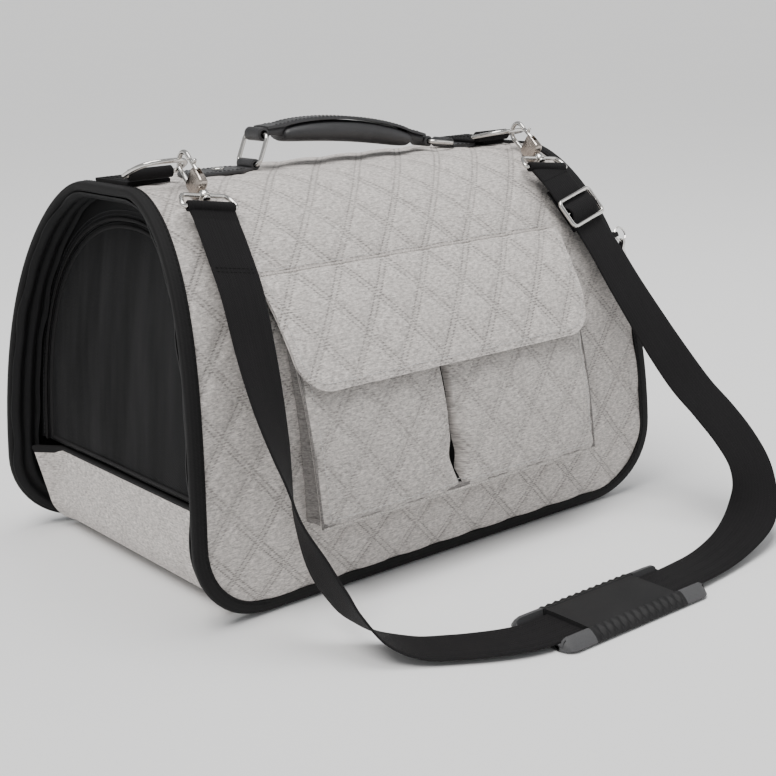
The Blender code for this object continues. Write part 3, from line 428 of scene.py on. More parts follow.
def felt_material(name, colour, quilted, strength=1.0):
    """Wool felt: pale and dark fibres in a mottled ground, with stitched rows if quilted, whose holes and the valleys
    beside them are darkened as painted shade.
    """
    made = Nodes(name, colour, 0.95, shine=0.15)
    spots = made.place("UV")
    fine = made.noise(spots, 1150, 4, 0.75)
    streaks = []
    for turn, shift in ((0.5, 3.0), (-0.9, 7.0), (1.9, 11.0), (2.7, 17.0)):
        line = made.noise(made.place("UV", (190, 900, shift), turn), 1.0, 2, 0.55)
        streaks.append(line)
    pale_hair = made.math("MAXIMUM", streaks[0], streaks[1])
    dark_hair = made.math("MAXIMUM", streaks[2], streaks[3])
    patch = made.noise(spots, 30, 3)
    blotch = made.noise(spots, 330, 3, 0.6)
    dark = [c * 0.38 for c in colour]
    pale = [min(c * 1.55, 0.95) for c in colour]
    low, high = [c * 0.70 for c in colour], [c * 1.28 for c in colour]
    tone = made.mix(made.spread(blotch, 0.32, 0.70), low, high)
    tone = made.mix(made.spread(pale_hair, 0.54, 0.72, 0.0, 0.90), tone, pale)
    tone = made.mix(made.spread(dark_hair, 0.55, 0.74, 0.0, 0.85), tone, dark)
    tone = made.mix(made.spread(fine, 0.52, 0.80, 0.0, 0.50), tone, dark)
    tone = made.mix(made.spread(patch, 0.35, 0.75, 0.0, 0.22), tone, [c * 0.80 for c in colour])
    height = made.math("MULTIPLY_ADD", pale_hair, 0.7, made.math("MULTIPLY", fine, 0.7))
    normal = made.bump(height, 0.0009, 0.65)
    if quilted:
        first, second = [quilt_lines(made, lean, shift) for lean, shift in QUILT_ROWS]
        hole = made.math("MAXIMUM", first[0], second[0])
        uneven = made.noise(made.place("UV"), 16, 2)
        depth = made.spread(uneven, 0.30, 0.70, 0.26 * strength, 0.78 * strength)
        puff = made.math("MINIMUM", first[1], second[1])
        # Painted shade: the stitch holes are darkened, unevenly, as the shade inside the dimples.
        tone = made.mix(made.math("MULTIPLY", hole, depth), tone, [c * 0.30 for c in colour])
        # Painted shade in the valleys along the stitched rows, where the felt is pulled in.
        painted_valley_shade = made.spread(puff, 0.0, 0.6, 0.07 * strength, 0.0)
        tone = made.mix(painted_valley_shade, tone, [c * 0.5 for c in colour])
        relief = made.math("SUBTRACT", puff, made.math("MULTIPLY", hole, 0.7))
        normal = made.bump(relief, 0.0007 * strength, 0.8, normal)
    made.shader.inputs["Sheen Weight"].default_value = 0.12
    made.shader.inputs["Sheen Roughness"].default_value = 0.6
    return made.done(colour=tone, normal=normal)


def woven_material(name, colour, rib, count=2.0, strength=0.7, rough=0.72, twill=False):
    """Cloth or tape with ribs across its length; twill slants them in a herringbone. Its colour follows the relief,
    paler on the rib crests and darker in the hollows, as painted light and shade.
    """
    made = Nodes(name, colour, rough, shine=0.16)
    across, along, _ = made.split(made.place("UV"))
    if twill:
        fold = made.math("PINGPONG", made.math("ADD", across, 1.0), 0.0045)
        along = made.math("ADD", along, fold)
    rise = made.math("SINE", made.math("MULTIPLY", along, 2 * math.pi / rib))
    weft = made.math("SINE", made.math("MULTIPLY", across, 2 * math.pi / (rib * count)))
    fuzz = made.noise(made.place("UV"), 900, 3)
    height = made.math("MULTIPLY_ADD", rise, 0.35, made.math("MULTIPLY_ADD", weft, 0.15, fuzz))
    low, high = [c * 0.55 for c in colour], [c * 1.6 + 0.001 for c in colour]
    # Painted light and shade: paler on the rib crests, darker in the hollows.
    tone = made.mix(made.spread(height, -0.1, 1.1), low, high)
    # Paler in soft patches.
    pale_patches = made.noise(made.place("UV"), 14, 2)
    tone = made.mix(made.spread(pale_patches, 0.35, 0.8, 0.0, 0.3), tone, [c * 1.5 + 0.002 for c in colour])
    made.shader.inputs["Sheen Weight"].default_value = 0.02
    return made.done(colour=tone, normal=made.bump(height, rib * 0.35, strength))


def mesh_material():
    """Knitted mesh: rows of small round holes painted near-black as the shade inside, with soft streaks along the
    pile.
    """
    made = Nodes("mesh_net", (0.012, 0.012, 0.013), 0.75, shine=0.12)
    across, along, _ = made.split(made.place("UV"))
    rows = made.math("SINE", made.math("MULTIPLY", along, 2 * math.pi / 0.0021))
    ranks = made.math("SINE", made.math("MULTIPLY", across, 2 * math.pi / 0.0019))
    hole = made.spread(made.math("MULTIPLY", rows, ranks), 0.05, 0.45)
    streak = made.noise(made.place("UV", (34, 4.5, 1), 0.12), 1.0, 3)
    cloud = made.noise(made.place("UV"), 9, 2)
    yarn = made.mix(made.spread(streak, 0.34, 0.70), (0.008, 0.008, 0.0085), (0.032, 0.032, 0.033))
    yarn = made.mix(made.spread(cloud, 0.35, 0.75, 0, 0.45), yarn, (0.014, 0.014, 0.015))
    # Painted shade: the holes are coloured near-black for the shaded inside seen through them.
    tone = made.mix(made.math("MULTIPLY", hole, 0.80), yarn, (0.0015, 0.0015, 0.0015))
    return made.done(colour=tone, normal=made.bump(made.math("SUBTRACT", 1.0, hole), 0.0005, 0.8))


def leather_material():
    """Black leather with a fine cell grain and pores."""
    made = Nodes("leather_grain", (0.020, 0.020, 0.021), 0.42, shine=0.55)
    spots = made.place("Object")
    cells = made.cells(spots, 950)
    pores = made.noise(spots, 2400, 3)
    drift = made.noise(spots, 45, 3)
    fine = made.math("MULTIPLY", pores, 0.3)
    height = made.math("MULTIPLY_ADD", made.spread(cells, 0.0, 0.25), 0.7, fine)
    tone = made.mix(made.spread(drift, 0.3, 0.75), (0.014, 0.014, 0.015), (0.032, 0.031, 0.033))
    rough = made.spread(made.noise(spots, 160, 3), 0.2, 0.8, 0.33, 0.48)
    return made.done(colour=tone, rough=rough, normal=made.bump(height, 0.0003, 0.5))


def metal_material(name, colour, rough):
    """Plated metal with smears and a fine brushed grain."""
    made = Nodes(name, colour, rough, 1.0)
    spots = made.place("Object")
    smear = made.noise(spots, 300, 4)
    brushed = made.noise(made.place("Object", (1, 1, 30)), 90, 3)
    tone = made.mix(made.spread(smear, 0.3, 0.8), [c * 0.86 for c in colour], colour)
    uneven = made.spread(smear, 0.25, 0.8, rough * 0.7, rough * 1.7)
    return made.done(colour=tone, rough=uneven, normal=made.bump(brushed, 0.00006, 0.35))


def rubber_material():
    made = Nodes("moulded_rubber", (0.012, 0.012, 0.0125), 0.60, shine=0.30)
    spots = made.place("Object")
    skin = made.noise(spots, 1700, 3)
    drift = made.noise(spots, 60, 3)
    tone = made.mix(made.spread(drift, 0.3, 0.75), (0.008, 0.008, 0.0085), (0.013, 0.0125, 0.013))
    rough = made.spread(skin, 0.25, 0.8, 0.50, 0.75)
    return made.done(colour=tone, rough=rough, normal=made.bump(skin, 0.00025, 0.45))


def rubber_pale():
    made = Nodes("moulded_rubber_ends", (0.07, 0.07, 0.072), 0.55, shine=0.4)
    skin = made.noise(made.place("Object"), 1700, 3)
    tone = made.mix(made.spread(skin, 0.3, 0.75), (0.05, 0.05, 0.052), (0.085, 0.085, 0.088))
    return made.done(colour=tone, normal=made.bump(skin, 0.00025, 0.45))


def thread_material(name, colour):
    """Sewing thread with a twist."""
    made = Nodes(name, colour, 0.8, shine=0.2)
    twist = made.noise(made.place("Object"), 4200, 2)
    tone = made.mix(made.spread(twist, 0.3, 0.7), [c * 0.7 for c in colour], colour)
    return made.done(colour=tone, normal=made.bump(twist, 0.0001, 0.5))


# ---------------------------------------------------------------- mesh building
class Part:
    """Collects faces, UVs in metres and material numbers, and makes one object of them."""

    def __init__(self):
        self.points, self.faces, self.uvs, self.looks = [], [], [], []

    def grid(self, rows, around=False, along=False, look=0, flip=False, uv=None):
        pts = np.array([[tuple(p) for p in row] for row in rows])
        n, m, _ = pts.shape
        du = np.linalg.norm(np.roll(pts, -1, 1) - pts, axis=2)
        dv = np.linalg.norm(np.roll(pts, -1, 0) - pts, axis=2).mean(1)
        u = np.concatenate([np.zeros((n, 1)), np.cumsum(du, 1)], 1)
        v = np.concatenate([[0.0], np.cumsum(dv)])
        if not around:
            u -= u[:, m - 1 : m] / 2
        base = len(self.points)
        self.points += [tuple(p) for p in pts.reshape(-1, 3)]
        for i in range(n if along else n - 1):
            for j in range(m if around else m - 1):
                i2, j2 = (i + 1) % n, (j + 1) % m
                quad = [(i, j, u[i, j], v[i]), (i, j2, u[i, j + 1], v[i])]
                quad += [(i2, j2, u[i2, j + 1], v[i + 1]), (i2, j, u[i2, j], v[i + 1])]
                if uv is not None:
                    quad = [(a, b, *uv[a][b]) for a, b, _, _ in quad]
                if flip:
                    quad.reverse()
                self.faces.append([base + a * m + b for a, b, _, _ in quad])
                self.uvs += [(c, d) for _, _, c, d in quad]
                self.looks.append(look)
        return base

    def cap(self, ring, look=0, flip=False):
        """Closes a ring of points, which are indexes, with one face."""
        ring = list(ring)[::-1] if flip else list(ring)
        self.faces.append(ring)
        self.uvs += [(self.points[k][0], self.points[k][1]) for k in ring]
        self.looks.append(look)

    def sweep(self, sections, closed=False, look=0):
        """Skin over a run of equal sections, with caps unless it closes."""
        base = self.grid(sections, around=True, along=closed, look=look)
        m, n = len(sections[0]), len(sections)
        if not closed:
            self.cap(range(base, base + m), look, flip=True)
            self.cap(range(base + (n - 1) * m, base + n * m), look)

    def slab(self, outer, inner, bulge=0.0, looks=(0, 0, 0), uv=None):
        """A closed sheet between two grids; bulge rounds its rim outwards."""
        a = self.grid(outer, look=looks[0], uv=uv)
        b = self.grid(inner, look=looks[1], flip=True, uv=uv)
        n, m = len(outer), len(outer[0])
        rim = [(0, j) for j in range(m)] + [(i, m - 1) for i in range(1, n)]
        rim += [(n - 1, j) for j in range(m - 2, -1, -1)] + [(i, 0) for i in range(n - 2, 0, -1)]
        top = [Vector(self.points[a + i * m + j]) for i, j in rim]
        low = [Vector(self.points[b + i * m + j]) for i, j in rim]
        rows = [top]
        if bulge:
            count = len(rim)
            for share in (0.25, 0.5, 0.75):
                ring = []
                for k in range(count):
                    run = (top[(k + 1) % count] - top[k - 1]).normalized()
                    through = (low[k] - top[k]).normalized()
                    out = through.cross(run).normalized()
                    push = bulge * math.sin(math.pi * share)
                    ring.append(top[k].lerp(low[k], share) + out * push)
                rows.append(ring)
        self.grid(rows + [low], around=True, look=looks[2], flip=True)

    def make(self, name, materials, body, stands_for=(), slot=None, sharp=40):
        """Joins what was collected into one smooth object with sharp edges, riding on body."""
        mesh = bpy.data.meshes.new(name)
        mesh.from_pydata(self.points, [], self.faces)
        layer = mesh.uv_layers.new(name="metres")
        layer.data.foreach_set("uv", np.array(self.uvs, np.float32).reshape(-1))
        for item in materials if isinstance(materials, (list, tuple)) else [materials]:
            mesh.materials.append(item)
        mesh.polygons.foreach_set("material_index", self.looks)
        bm = bmesh.new()
        bm.from_mesh(mesh)
        bmesh.ops.remove_doubles(bm, verts=bm.verts, dist=1e-6)
        bmesh.ops.recalc_face_normals(bm, faces=bm.faces)
        bm.to_mesh(mesh)
        bm.free()
        mesh.shade_smooth()
        mesh.set_sharp_from_angle(angle=math.radians(sharp))
        made = bpy.data.objects.new(name, mesh)
        bpy.context.scene.collection.objects.link(made)
        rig.ride(made, body)
        if stands_for:
            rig.replaces(made, *stands_for)
        if slot:
            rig.slot(made, slot)
        return made


def tangents(points, closed=False):
    """Direction of a run of points at each of them."""
    count = len(points)
    made = []
    for i in range(count):
        before = points[i - 1] if closed or i else points[0]
        after = points[(i + 1) % count] if closed or i < count - 1 else points[-1]
        made.append((after - before).normalized())
    return made


def circle(sides):
    """Cosine and sine at even turns round a circle."""
    turns = [2 * math.pi * k / sides for k in range(sides)]
    return [(math.cos(turn), math.sin(turn)) for turn in turns]


def wire_sections(points, radius, side, sides=16, closed=False):
    """Round sections along points that lie in a plane square to side."""
    made = []
    for point, along in zip(points, tangents(points, closed)):
        out = side.cross(along).normalized()
        made.append([point + radius * (a * side + b * out) for a, b in circle(sides)])
    return made


def rounded(points, closed=True, passes=2):
    """Cuts the corners of a polyline, as Chaikin does."""
    for _ in range(passes):
        made = []
        count = len(points)
        for i in range(count if closed else count - 1):
            a, b = points[i], points[(i + 1) % count]
            made += [a.lerp(b, 0.25), a.lerp(b, 0.75)]
        points = made if closed else [points[0], *made, points[-1]]
    return points


def rod_sections(start, end, radius, sides=20, round_end=0.0):
    """Round sections of a straight rod, whose ends may be rounded."""
    along = (end - start).normalized()
    side = along.orthogonal().normalized()
    out = side.cross(along)
    size = (end - start).length
    stations = [(0.0, radius), (size, radius)]
    if round_end:
        near = round_end * 0.3
        stations = [(0, radius - round_end), (near, radius - near), (round_end, radius)]
        stations += [(size - a, b) for a, b in reversed(stations)]
    made = []
    for at, r in stations:
        made.append([start + along * at + r * (a * side + b * out) for a, b in circle(sides)])
    return made


def add_stitches(part, path, normals, size, gap, radius):
    """A row of short stitches that lie on a surface along a path."""
    steps = [(b - a).length for a, b in zip(path, path[1:])]
    run = np.concatenate([[0], np.cumsum(steps)])
    spots = np.array([tuple(p) for p in path])
    ups = np.array([tuple(n) for n in normals])

    def at(distance):
        point = Vector([np.interp(distance, run, spots[:, i]) for i in range(3)])
        up = Vector([np.interp(distance, run, ups[:, i]) for i in range(3)]).normalized()
        return point, up

    place = gap
    while place + size < run[-1]:
        (a, up), (b, _) = at(place), at(place + size)
        along = (b - a).normalized()
        side = up.cross(along).normalized()
        sections = []
        for share, width in ((0.0, 0.35), (0.2, 0.9), (0.5, 1.0), (0.8, 0.9), (1.0, 0.35)):
            centre = a.lerp(b, share) + up * radius * (0.2 + 0.5 * math.sin(math.pi * share))
            thick = radius * width
            sections.append([centre + thick * (c * side + 0.8 * d * up) for c, d in circle(6)])
        part.sweep(sections)
        place += size + gap


def sew(name, thread, body, slot, runs, size, gap, radius):
    """One object of stitched rows; each run is (path, its normals or the one they share)."""
    seam = Part()
    for path, up in runs:
        ups = [up] * len(path) if isinstance(up, Vector) else up
        add_stitches(seam, path, ups, size, gap, radius)
    return seam.make(name, thread, body, slot=slot)


# ---------------------------------------------------------------- the wrap's surface
def wrap_profile():
    """Outline of the bag's section from the front foot over the top to the rear foot."""
    half = []
    for share in np.linspace(0.007, 1, 240):
        turn = math.pi / 2 * share**2
        z = HEIGHT * math.sin(turn) ** ARCH_POWER
        y = TOP_HALF + (BULGE_HALF - TOP_HALF) * math.cos(turn) ** SIDE_POWER
        y -= FOOT_TUCK * math.exp(-z / 0.02)
        half.append((y, z))
    front = [(-y, z) for y, z in half]
    rear = [(y, z) for y, z in reversed(half)]
    return np.array(front + rear)


PROFILE = wrap_profile()
RUN = np.concatenate([[0], np.cumsum(np.hypot(*np.diff(PROFILE, axis=0).T))])
GIRTH = float(RUN[-1])


def section_at(s, off=0.0):
    """(y, z) of the wrap at arc length s, moved outwards by off."""
    spread = 0.004
    here = [np.interp(s, RUN, PROFILE[:, i]) for i in (0, 1)]
    ahead = [np.interp(min(s + spread, GIRTH), RUN, PROFILE[:, i]) for i in (0, 1)]
    behind = [np.interp(max(s - spread, 0), RUN, PROFILE[:, i]) for i in (0, 1)]
    dy, dz = ahead[0] - behind[0], ahead[1] - behind[1]
    size = math.hypot(dy, dz)
    return here[0] - off * dz / size, here[1] + off * dy / size


def reach(z):
    """Half length of the bag at a height: it narrows towards the top."""
    return LENGTH / 2 - END_TAPER * (max(z, 0) / HEIGHT) ** TAPER_POWER


def on_wrap(x, s, off=0.0):
    """Point of the wrap at x and arc length s, moved outwards by off."""
    y, z = section_at(s, off)
    return Vector((x, y, z))


def wrap_normal(s):
    a, b = section_at(s, 0.0), section_at(s, 1.0)
    return Vector((0, b[0] - a[0], b[1] - a[1])).normalized()


def arc_at_height(z):
    """Arc length on the front face at a height."""
    top = len(PROFILE) // 2
    return float(np.interp(z, PROFILE[:top, 1], RUN[:top]))


def outline_runs(corner=15, arch=130):
    """Arc length at each point of end_outline."""
    front = [CORNER_R * (1 - math.sin(turn)) for turn in np.linspace(math.pi / 2, 0, corner)]
    middle = list(np.linspace(CORNER_R, GIRTH - CORNER_R, arch)[1:-1])
    return front + middle + [GIRTH - s for s in reversed(front)]


def end_outline(inset, off, corner=15, arch=130):
    """Points from the front foot round one end's edge to the rear foot, for +X."""
    radius = CORNER_R - inset
    front = []
    for turn in np.linspace(math.pi / 2, 0, corner):
        x = LENGTH / 2 - CORNER_R + radius * math.cos(turn)
        s = CORNER_R - radius * math.sin(turn)
        front.append((x - END_TAPER * (s / HEIGHT) ** TAPER_POWER, s))
    points = [on_wrap(x, s, off) for x, s in front]
    for s in np.linspace(CORNER_R, GIRTH - CORNER_R, arch)[1:-1]:
        points.append(on_wrap(reach(section_at(s)[1]) - inset, s, off))
    points += [on_wrap(x, GIRTH - s, off) for x, s in reversed(front)]
    return points


def mirrored(points, side):
    """The same points on the +X or the -X side."""
    return [Vector((p.x * side, p.y, p.z)) for p in points]


# ---------------------------------------------------------------- the bag's soft body
def quilt_relief(x, s):
    """How far the quilting pulls the felt in: deepest along the crossing stitched rows."""
    nearest = 1.0
    for lean, shift in QUILT_ROWS:
        number = (x - shift + lean * QUILT_SLOPE * (s - QUILT_S)) / QUILT_PITCH
        phase = (number + 40) % 1
        aside = abs(phase - round(phase))
        nearest = min(nearest, aside * QUILT_PITCH / math.hypot(1, QUILT_SLOPE))
    return -0.0011 * math.exp(-((max(nearest - 0.0012, 0) / 0.0042) ** 1.5))


def make_wrap(felt, lining):
    """The quilted felt shell, lined inside, with its relief in the mesh."""
    edge = BINDING_W - 0.0012
    shares = np.linspace(-1, 1, 150)
    runs = outline_runs(21, 220)
    sheets = []
    for off in (-0.0002, -0.0006 - FELT):
        rows = []
        for p, s in zip(end_outline(edge, off, 21, 220), runs):
            row = [Vector((p.x * share, p.y, p.z)) for share in shares]
            if off > -0.001:
                normal = wrap_normal(s)
                row = [point + normal * quilt_relief(point.x, s) for point in row]
            rows.append(row)
        sheets.append(rows)
    uv = [[(p.x, s - QUILT_S) for p in row] for row, s in zip(sheets[0], runs)]
    part = Part()
    part.slab(*sheets, looks=(0, 1, 1), uv=uv)
    part.make("felt_wrap", [felt, lining], "bag", ["shell_wrap"], "felt", sharp=60)


def make_binding(tape, thread):
    """Woven tape folded over both end rims and run along the wrap's two feet."""
    corners = ((0.0, -0.0028), (0.0002, -0.0006), (0.0012, 0.0005), (0.0030, 0.0009), (0.0075, 0.0009))
    corners += ((BINDING_W, 0.0006), (BINDING_W + 0.0002, -0.0006), (BINDING_W, -0.0058))
    corners += ((0.0060, -0.0064), (0.0020, -0.0062), (0.0004, -0.0050))
    lines = [end_outline(inset, off) for inset, off in corners]
    right = [list(points) for points in zip(*lines)]
    left = [mirrored(section, -1) for section in reversed(right)]
    part = Part()
    part.grid(right + left, around=True, along=True)
    part.make("edge_tape", tape, "bag", ["edge_binding"], "edge_tape", sharp=50)
    line = end_outline(0.0086, 0.00095, 15, 90)
    ups = [wrap_normal(s) for s in np.linspace(0, GIRTH, len(line))]
    runs = [(mirrored(line, side), ups) for side in (-1, 1)]
    sew("edge_tape_stitching", thread, "bag", "edge_tape", runs, 0.0026, 0.0013, 0.0003)


def make_gusset(end, side, cloth):
    """Soft pleats between a rim and its end panel, a little uneven."""
    folds = [(0.0015, -0.0070), (0.0063, -0.0112), (0.0110, -0.0072), (0.0158, -0.0116)]
    folds += [(0.0205, -0.0074), (0.0238, -0.0104)]
    soft = rounded([Vector((a, b, 0)) for a, b in folds], closed=False, passes=2)
    under = [Vector((p.x, p.y - 0.0012, 0)) for p in reversed(soft)]
    lines = []
    for p in soft + under:
        lines.append(end_outline(p.x, p.y))
    sections = []
    for k, section in enumerate(zip(*lines)):
        crumple = 1 + 0.10 * math.sin(0.55 * k) * math.sin(0.13 * k + side)
        middle = sum(section, Vector()) / len(section)
        sections.append(mirrored([middle + (p - middle) * crumple for p in section], side))
    part = Part()
    part.sweep(sections[1:-1])
    part.make("pleats_" + end, cloth, "bag", ["gusset_" + end], "nylon", sharp=70)


def door_outline(grow=0.0, count=48, last=90):
    """Half outline of the mesh door, from its foot to its crown, as (y, z)."""
    made = []
    for turn in np.linspace(0, math.radians(last), count):
        z = DOOR_BASE + (DOOR_RISE + grow) * math.sin(turn) ** ARCH_POWER
        made.append(((DOOR_HALF + grow) * math.cos(turn) ** DOOR_POWER, z))
    return made


def dome(grow):
    """Outline up the front side, over the crown and down the rear side of the door, as (y, z)."""
    half = door_outline(grow)
    return [(-y, z) for y, z in half] + [(y, z) for y, z in reversed(half[:-1])]


def make_end(end, side, cloth, net, tape, thread):
    """One end: the lining round the door, the zip, its seams, the mesh door and its hem."""
    at = lambda y, z, depth: Vector((side * (reach(z) - END_RECESS + depth), y, z))
    inner = dome(0.0006)
    foot = arc_at_height(DOOR_BASE - 0.0005)
    outer = [section_at(s, -FELT - 0.0011) for s in np.linspace(foot, GIRTH - foot, len(inner))]
    sheets = []
    for depth in (0.0, -0.0018):
        rows = []
        for (oy, oz), (iy, iz) in zip(outer, inner):
            row = []
            for share in np.linspace(0, 1, 8):
                y, z = oy + (iy - oy) * share, oz + (iz - oz) * share
                row.append(at(y, z, depth))
            rows.append(row)
        sheets.append(rows)
    part = Part()
    part.slab(*sheets)
    part.make("end_lining_" + end, cloth, "bag", ["end_frame_" + end], "nylon", sharp=60)

    part = Part()
    path = [at(y, z, 0.0011) for y, z in dome(0.0027)]
    fine = resample(path, 0.0009)
    sections = []
    for k, (point, along) in enumerate(zip(fine, tangents(fine))):
        out = SIDEWAYS.cross(along).normalized()
        size = 0.00105 if k % 2 else 0.00070
        ring = []
        for a, b in circle(8):
            ring.append(point + out * a * 0.0015 + SIDEWAYS * side * b * size)
        sections.append(ring)
    part.sweep(sections)
    part.make("zip_coil_" + end, tape, "bag", ["zip_track_" + end], "edge_tape", sharp=80)

    runs = [([at(y, z, 0.0002) for y, z in dome(grow)], SIDEWAYS * side) for grow in (0.0062, 0.0090)]
    sew("end_seam_" + end, thread, "bag", "nylon", runs, 0.0024, 0.0010, 0.00032)

    sheets = []
    for depth in (-0.0006, -0.0016):
        rows = []
        for y, z in door_outline(0, 60, 87.5):
            row = []
            for share in np.linspace(-1, 1, 40):
                swell = 0.0007 * (1 - share**2)
                swell += 0.0004 * math.sin(5.2 * share + 26 * (z - DOOR_BASE)) * (1 - share**2)
                row.append(at(y * share, z, depth - swell))
            rows.append(row)
        sheets.append(rows)
    part = Part()
    part.slab(*sheets, bulge=0.0003)
    stands_for = ["end_door_" + end]
    door = part.make("mesh_door_" + end, net, "door_" + end, stands_for, "mesh_cloth", sharp=60)
    size = (2 * DOOR_HALF, DOOR_RISE)
    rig.sheet(door, flat=size, held="stretched", rests_on=["end_lining_" + end], area=0.0388)
    hem = Part()
    inside = []
    for y, z in dome(-0.0012):
        inside.append(at(y * 0.972, DOOR_BASE + (z - DOOR_BASE) * 0.978 + 0.0022, -0.0006))
    ring = inside + [at(y, DOOR_BASE + 0.0030, -0.0006) for y in np.linspace(0.116, -0.116, 30)]
    sections = []
    for point, along in zip(ring, tangents(ring, True)):
        out = SIDEWAYS.cross(along).normalized()
        flat = [(-1.5, 0.1), (-1.2, 0.6), (0, 0.75), (1.2, 0.6), (1.5, 0.1), (0, -0.3)]
        sections.append([point + out * a * 1e-3 + SIDEWAYS * side * b * 1e-3 for a, b in flat])
    hem.sweep(sections, closed=True)
    hem.make("door_hem_" + end, tape, "door_" + end, slot="edge_tape", sharp=60)


def resample(path, step):
    """Points at even steps along a path."""
    sizes = [(b - a).length for a, b in zip(path, path[1:])]
    run = np.concatenate([[0], np.cumsum(sizes)])
    spots = np.array([tuple(p) for p in path])
    count = max(int(run[-1] / step), 2)
    made = []
    for distance in np.linspace(0, run[-1], count):
        made.append(Vector([np.interp(distance, run, spots[:, i]) for i in range(3)]))
    return made


def base_path():
    """Half section of the base along x: (x, z, turn, share of the corner's wing)."""
    bend = 0.030
    flat_x = BASE_END_X - bend
    path = [(flat_x * t, 0.0, 0.0, 0.0) for t in np.linspace(0, 0.94, 12)]
    for turn in np.linspace(0, math.pi / 2, 13):
        x, z = flat_x + bend * math.sin(turn), bend - bend * math.cos(turn)
        path.append((x, z, turn, 0.35 * turn / 1.57))
    for z in np.linspace(0.034, BAND_TOP, 9):
        path.append((BASE_END_X, z, math.pi / 2, 0.35 + 0.65 * (z - bend) / (BAND_TOP - bend)))
    return path


def base_row(station, side, depth, columns=37):
    """Points across the base at one station; its corners wrap round as wings."""
    x, z, turn, wing = station
    half = 0.1330 if x < 0.120 else 0.1330 - 0.0085 * min((x - 0.120) / 0.03, 1)
    fold = half - 0.0205 * wing
    px, pz = x - depth * math.sin(turn), z + depth * math.cos(turn)
    row = []
    for share in np.linspace(-1, 1, columns):
        y = share * half
        push = 0.0165 * wing * max(abs(y) - fold, 0) / max(half - fold, 1e-6)
        row.append(Vector((side * (px + push), y, pz)))
    return row


def make_base(felt, lining, tape):
    """The felt base band, with a taped hem along each end."""
    path = base_path()
    sheets = []
    for depth in (0.0, 0.0045):
        rows = [base_row(station, -1, depth) for station in reversed(path[1:])]
        rows += [base_row(station, 1, depth) for station in path]
        sheets.append(rows)
    part = Part()
    part.slab(*sheets, looks=(0, 1, 0))
    part.make("base_felt", [felt, lining], "bag", ["base_shell"], "felt", sharp=45)
    for end, side in ENDS:
        top = path[-1]
        outer, inner = base_row(top, side, -0.0004, 61), base_row(top, side, 0.0049, 61)
        sections = []
        for a, b in zip(outer, inner):
            through, crown = b - a, UP * 0.0006
            ring = [a - UP * 0.0018, a - through * 0.03 - UP * 0.0009, a, a + through * 0.15 + crown]
            ring += [a + through * 0.85 + crown, b, b - UP * 0.0070, a + through * 0.5 - UP * 0.0074]
            sections.append(ring)
        hem = Part()
        hem.sweep(sections)
        hem.make("base_hem_" + end, tape, "bag", slot="edge_tape", sharp=60)


# ---------------------------------------------------------------- pocket and flap
def pocket_fall(s):
    """0 at the pocket's mouth and 1 at its foot."""
    low, top = arc_at_height(POCKET_LOW_Z), arc_at_height(POCKET_TOP_Z)
    return min(max((top - s) / (top - low), 0), 1)


def tuck(x, s):
    """(how far into the pocket's centre tuck, how pinched) a place is, each from 0 to 1."""
    fall = pocket_fall(s)
    pinch = math.exp(-(((fall - 0.80) / 0.085) ** 2))
    middle = x - TUCK_X - TUCK_LEAN * fall
    inside = math.exp(-((abs(middle) / (0.0025 + 0.0038 * pinch)) ** 3))
    return inside * min((1 - fall) / 0.10, 1), pinch


def pocket_stand(x, s):
    """Height of the pocket's face off the wrap; a deep tuck runs down its middle."""
    fall = pocket_fall(s)
    stand = POCKET_MOUTH + (POCKET_DEPTH - POCKET_MOUTH) * fall**0.88
    inside, pinch = tuck(x, s)
    middle = abs(x - TUCK_X - TUCK_LEAN * fall)
    pleat = math.exp(-((middle / (0.0075 + 0.003 * pinch)) ** 2)) * 0.0062 * min((1 - fall) / 0.10, 1)
    return stand - pleat * (0.4 + 0.6 * fall) - inside * (0.0115 + 0.0020 * pinch) * (0.6 + 0.4 * fall)


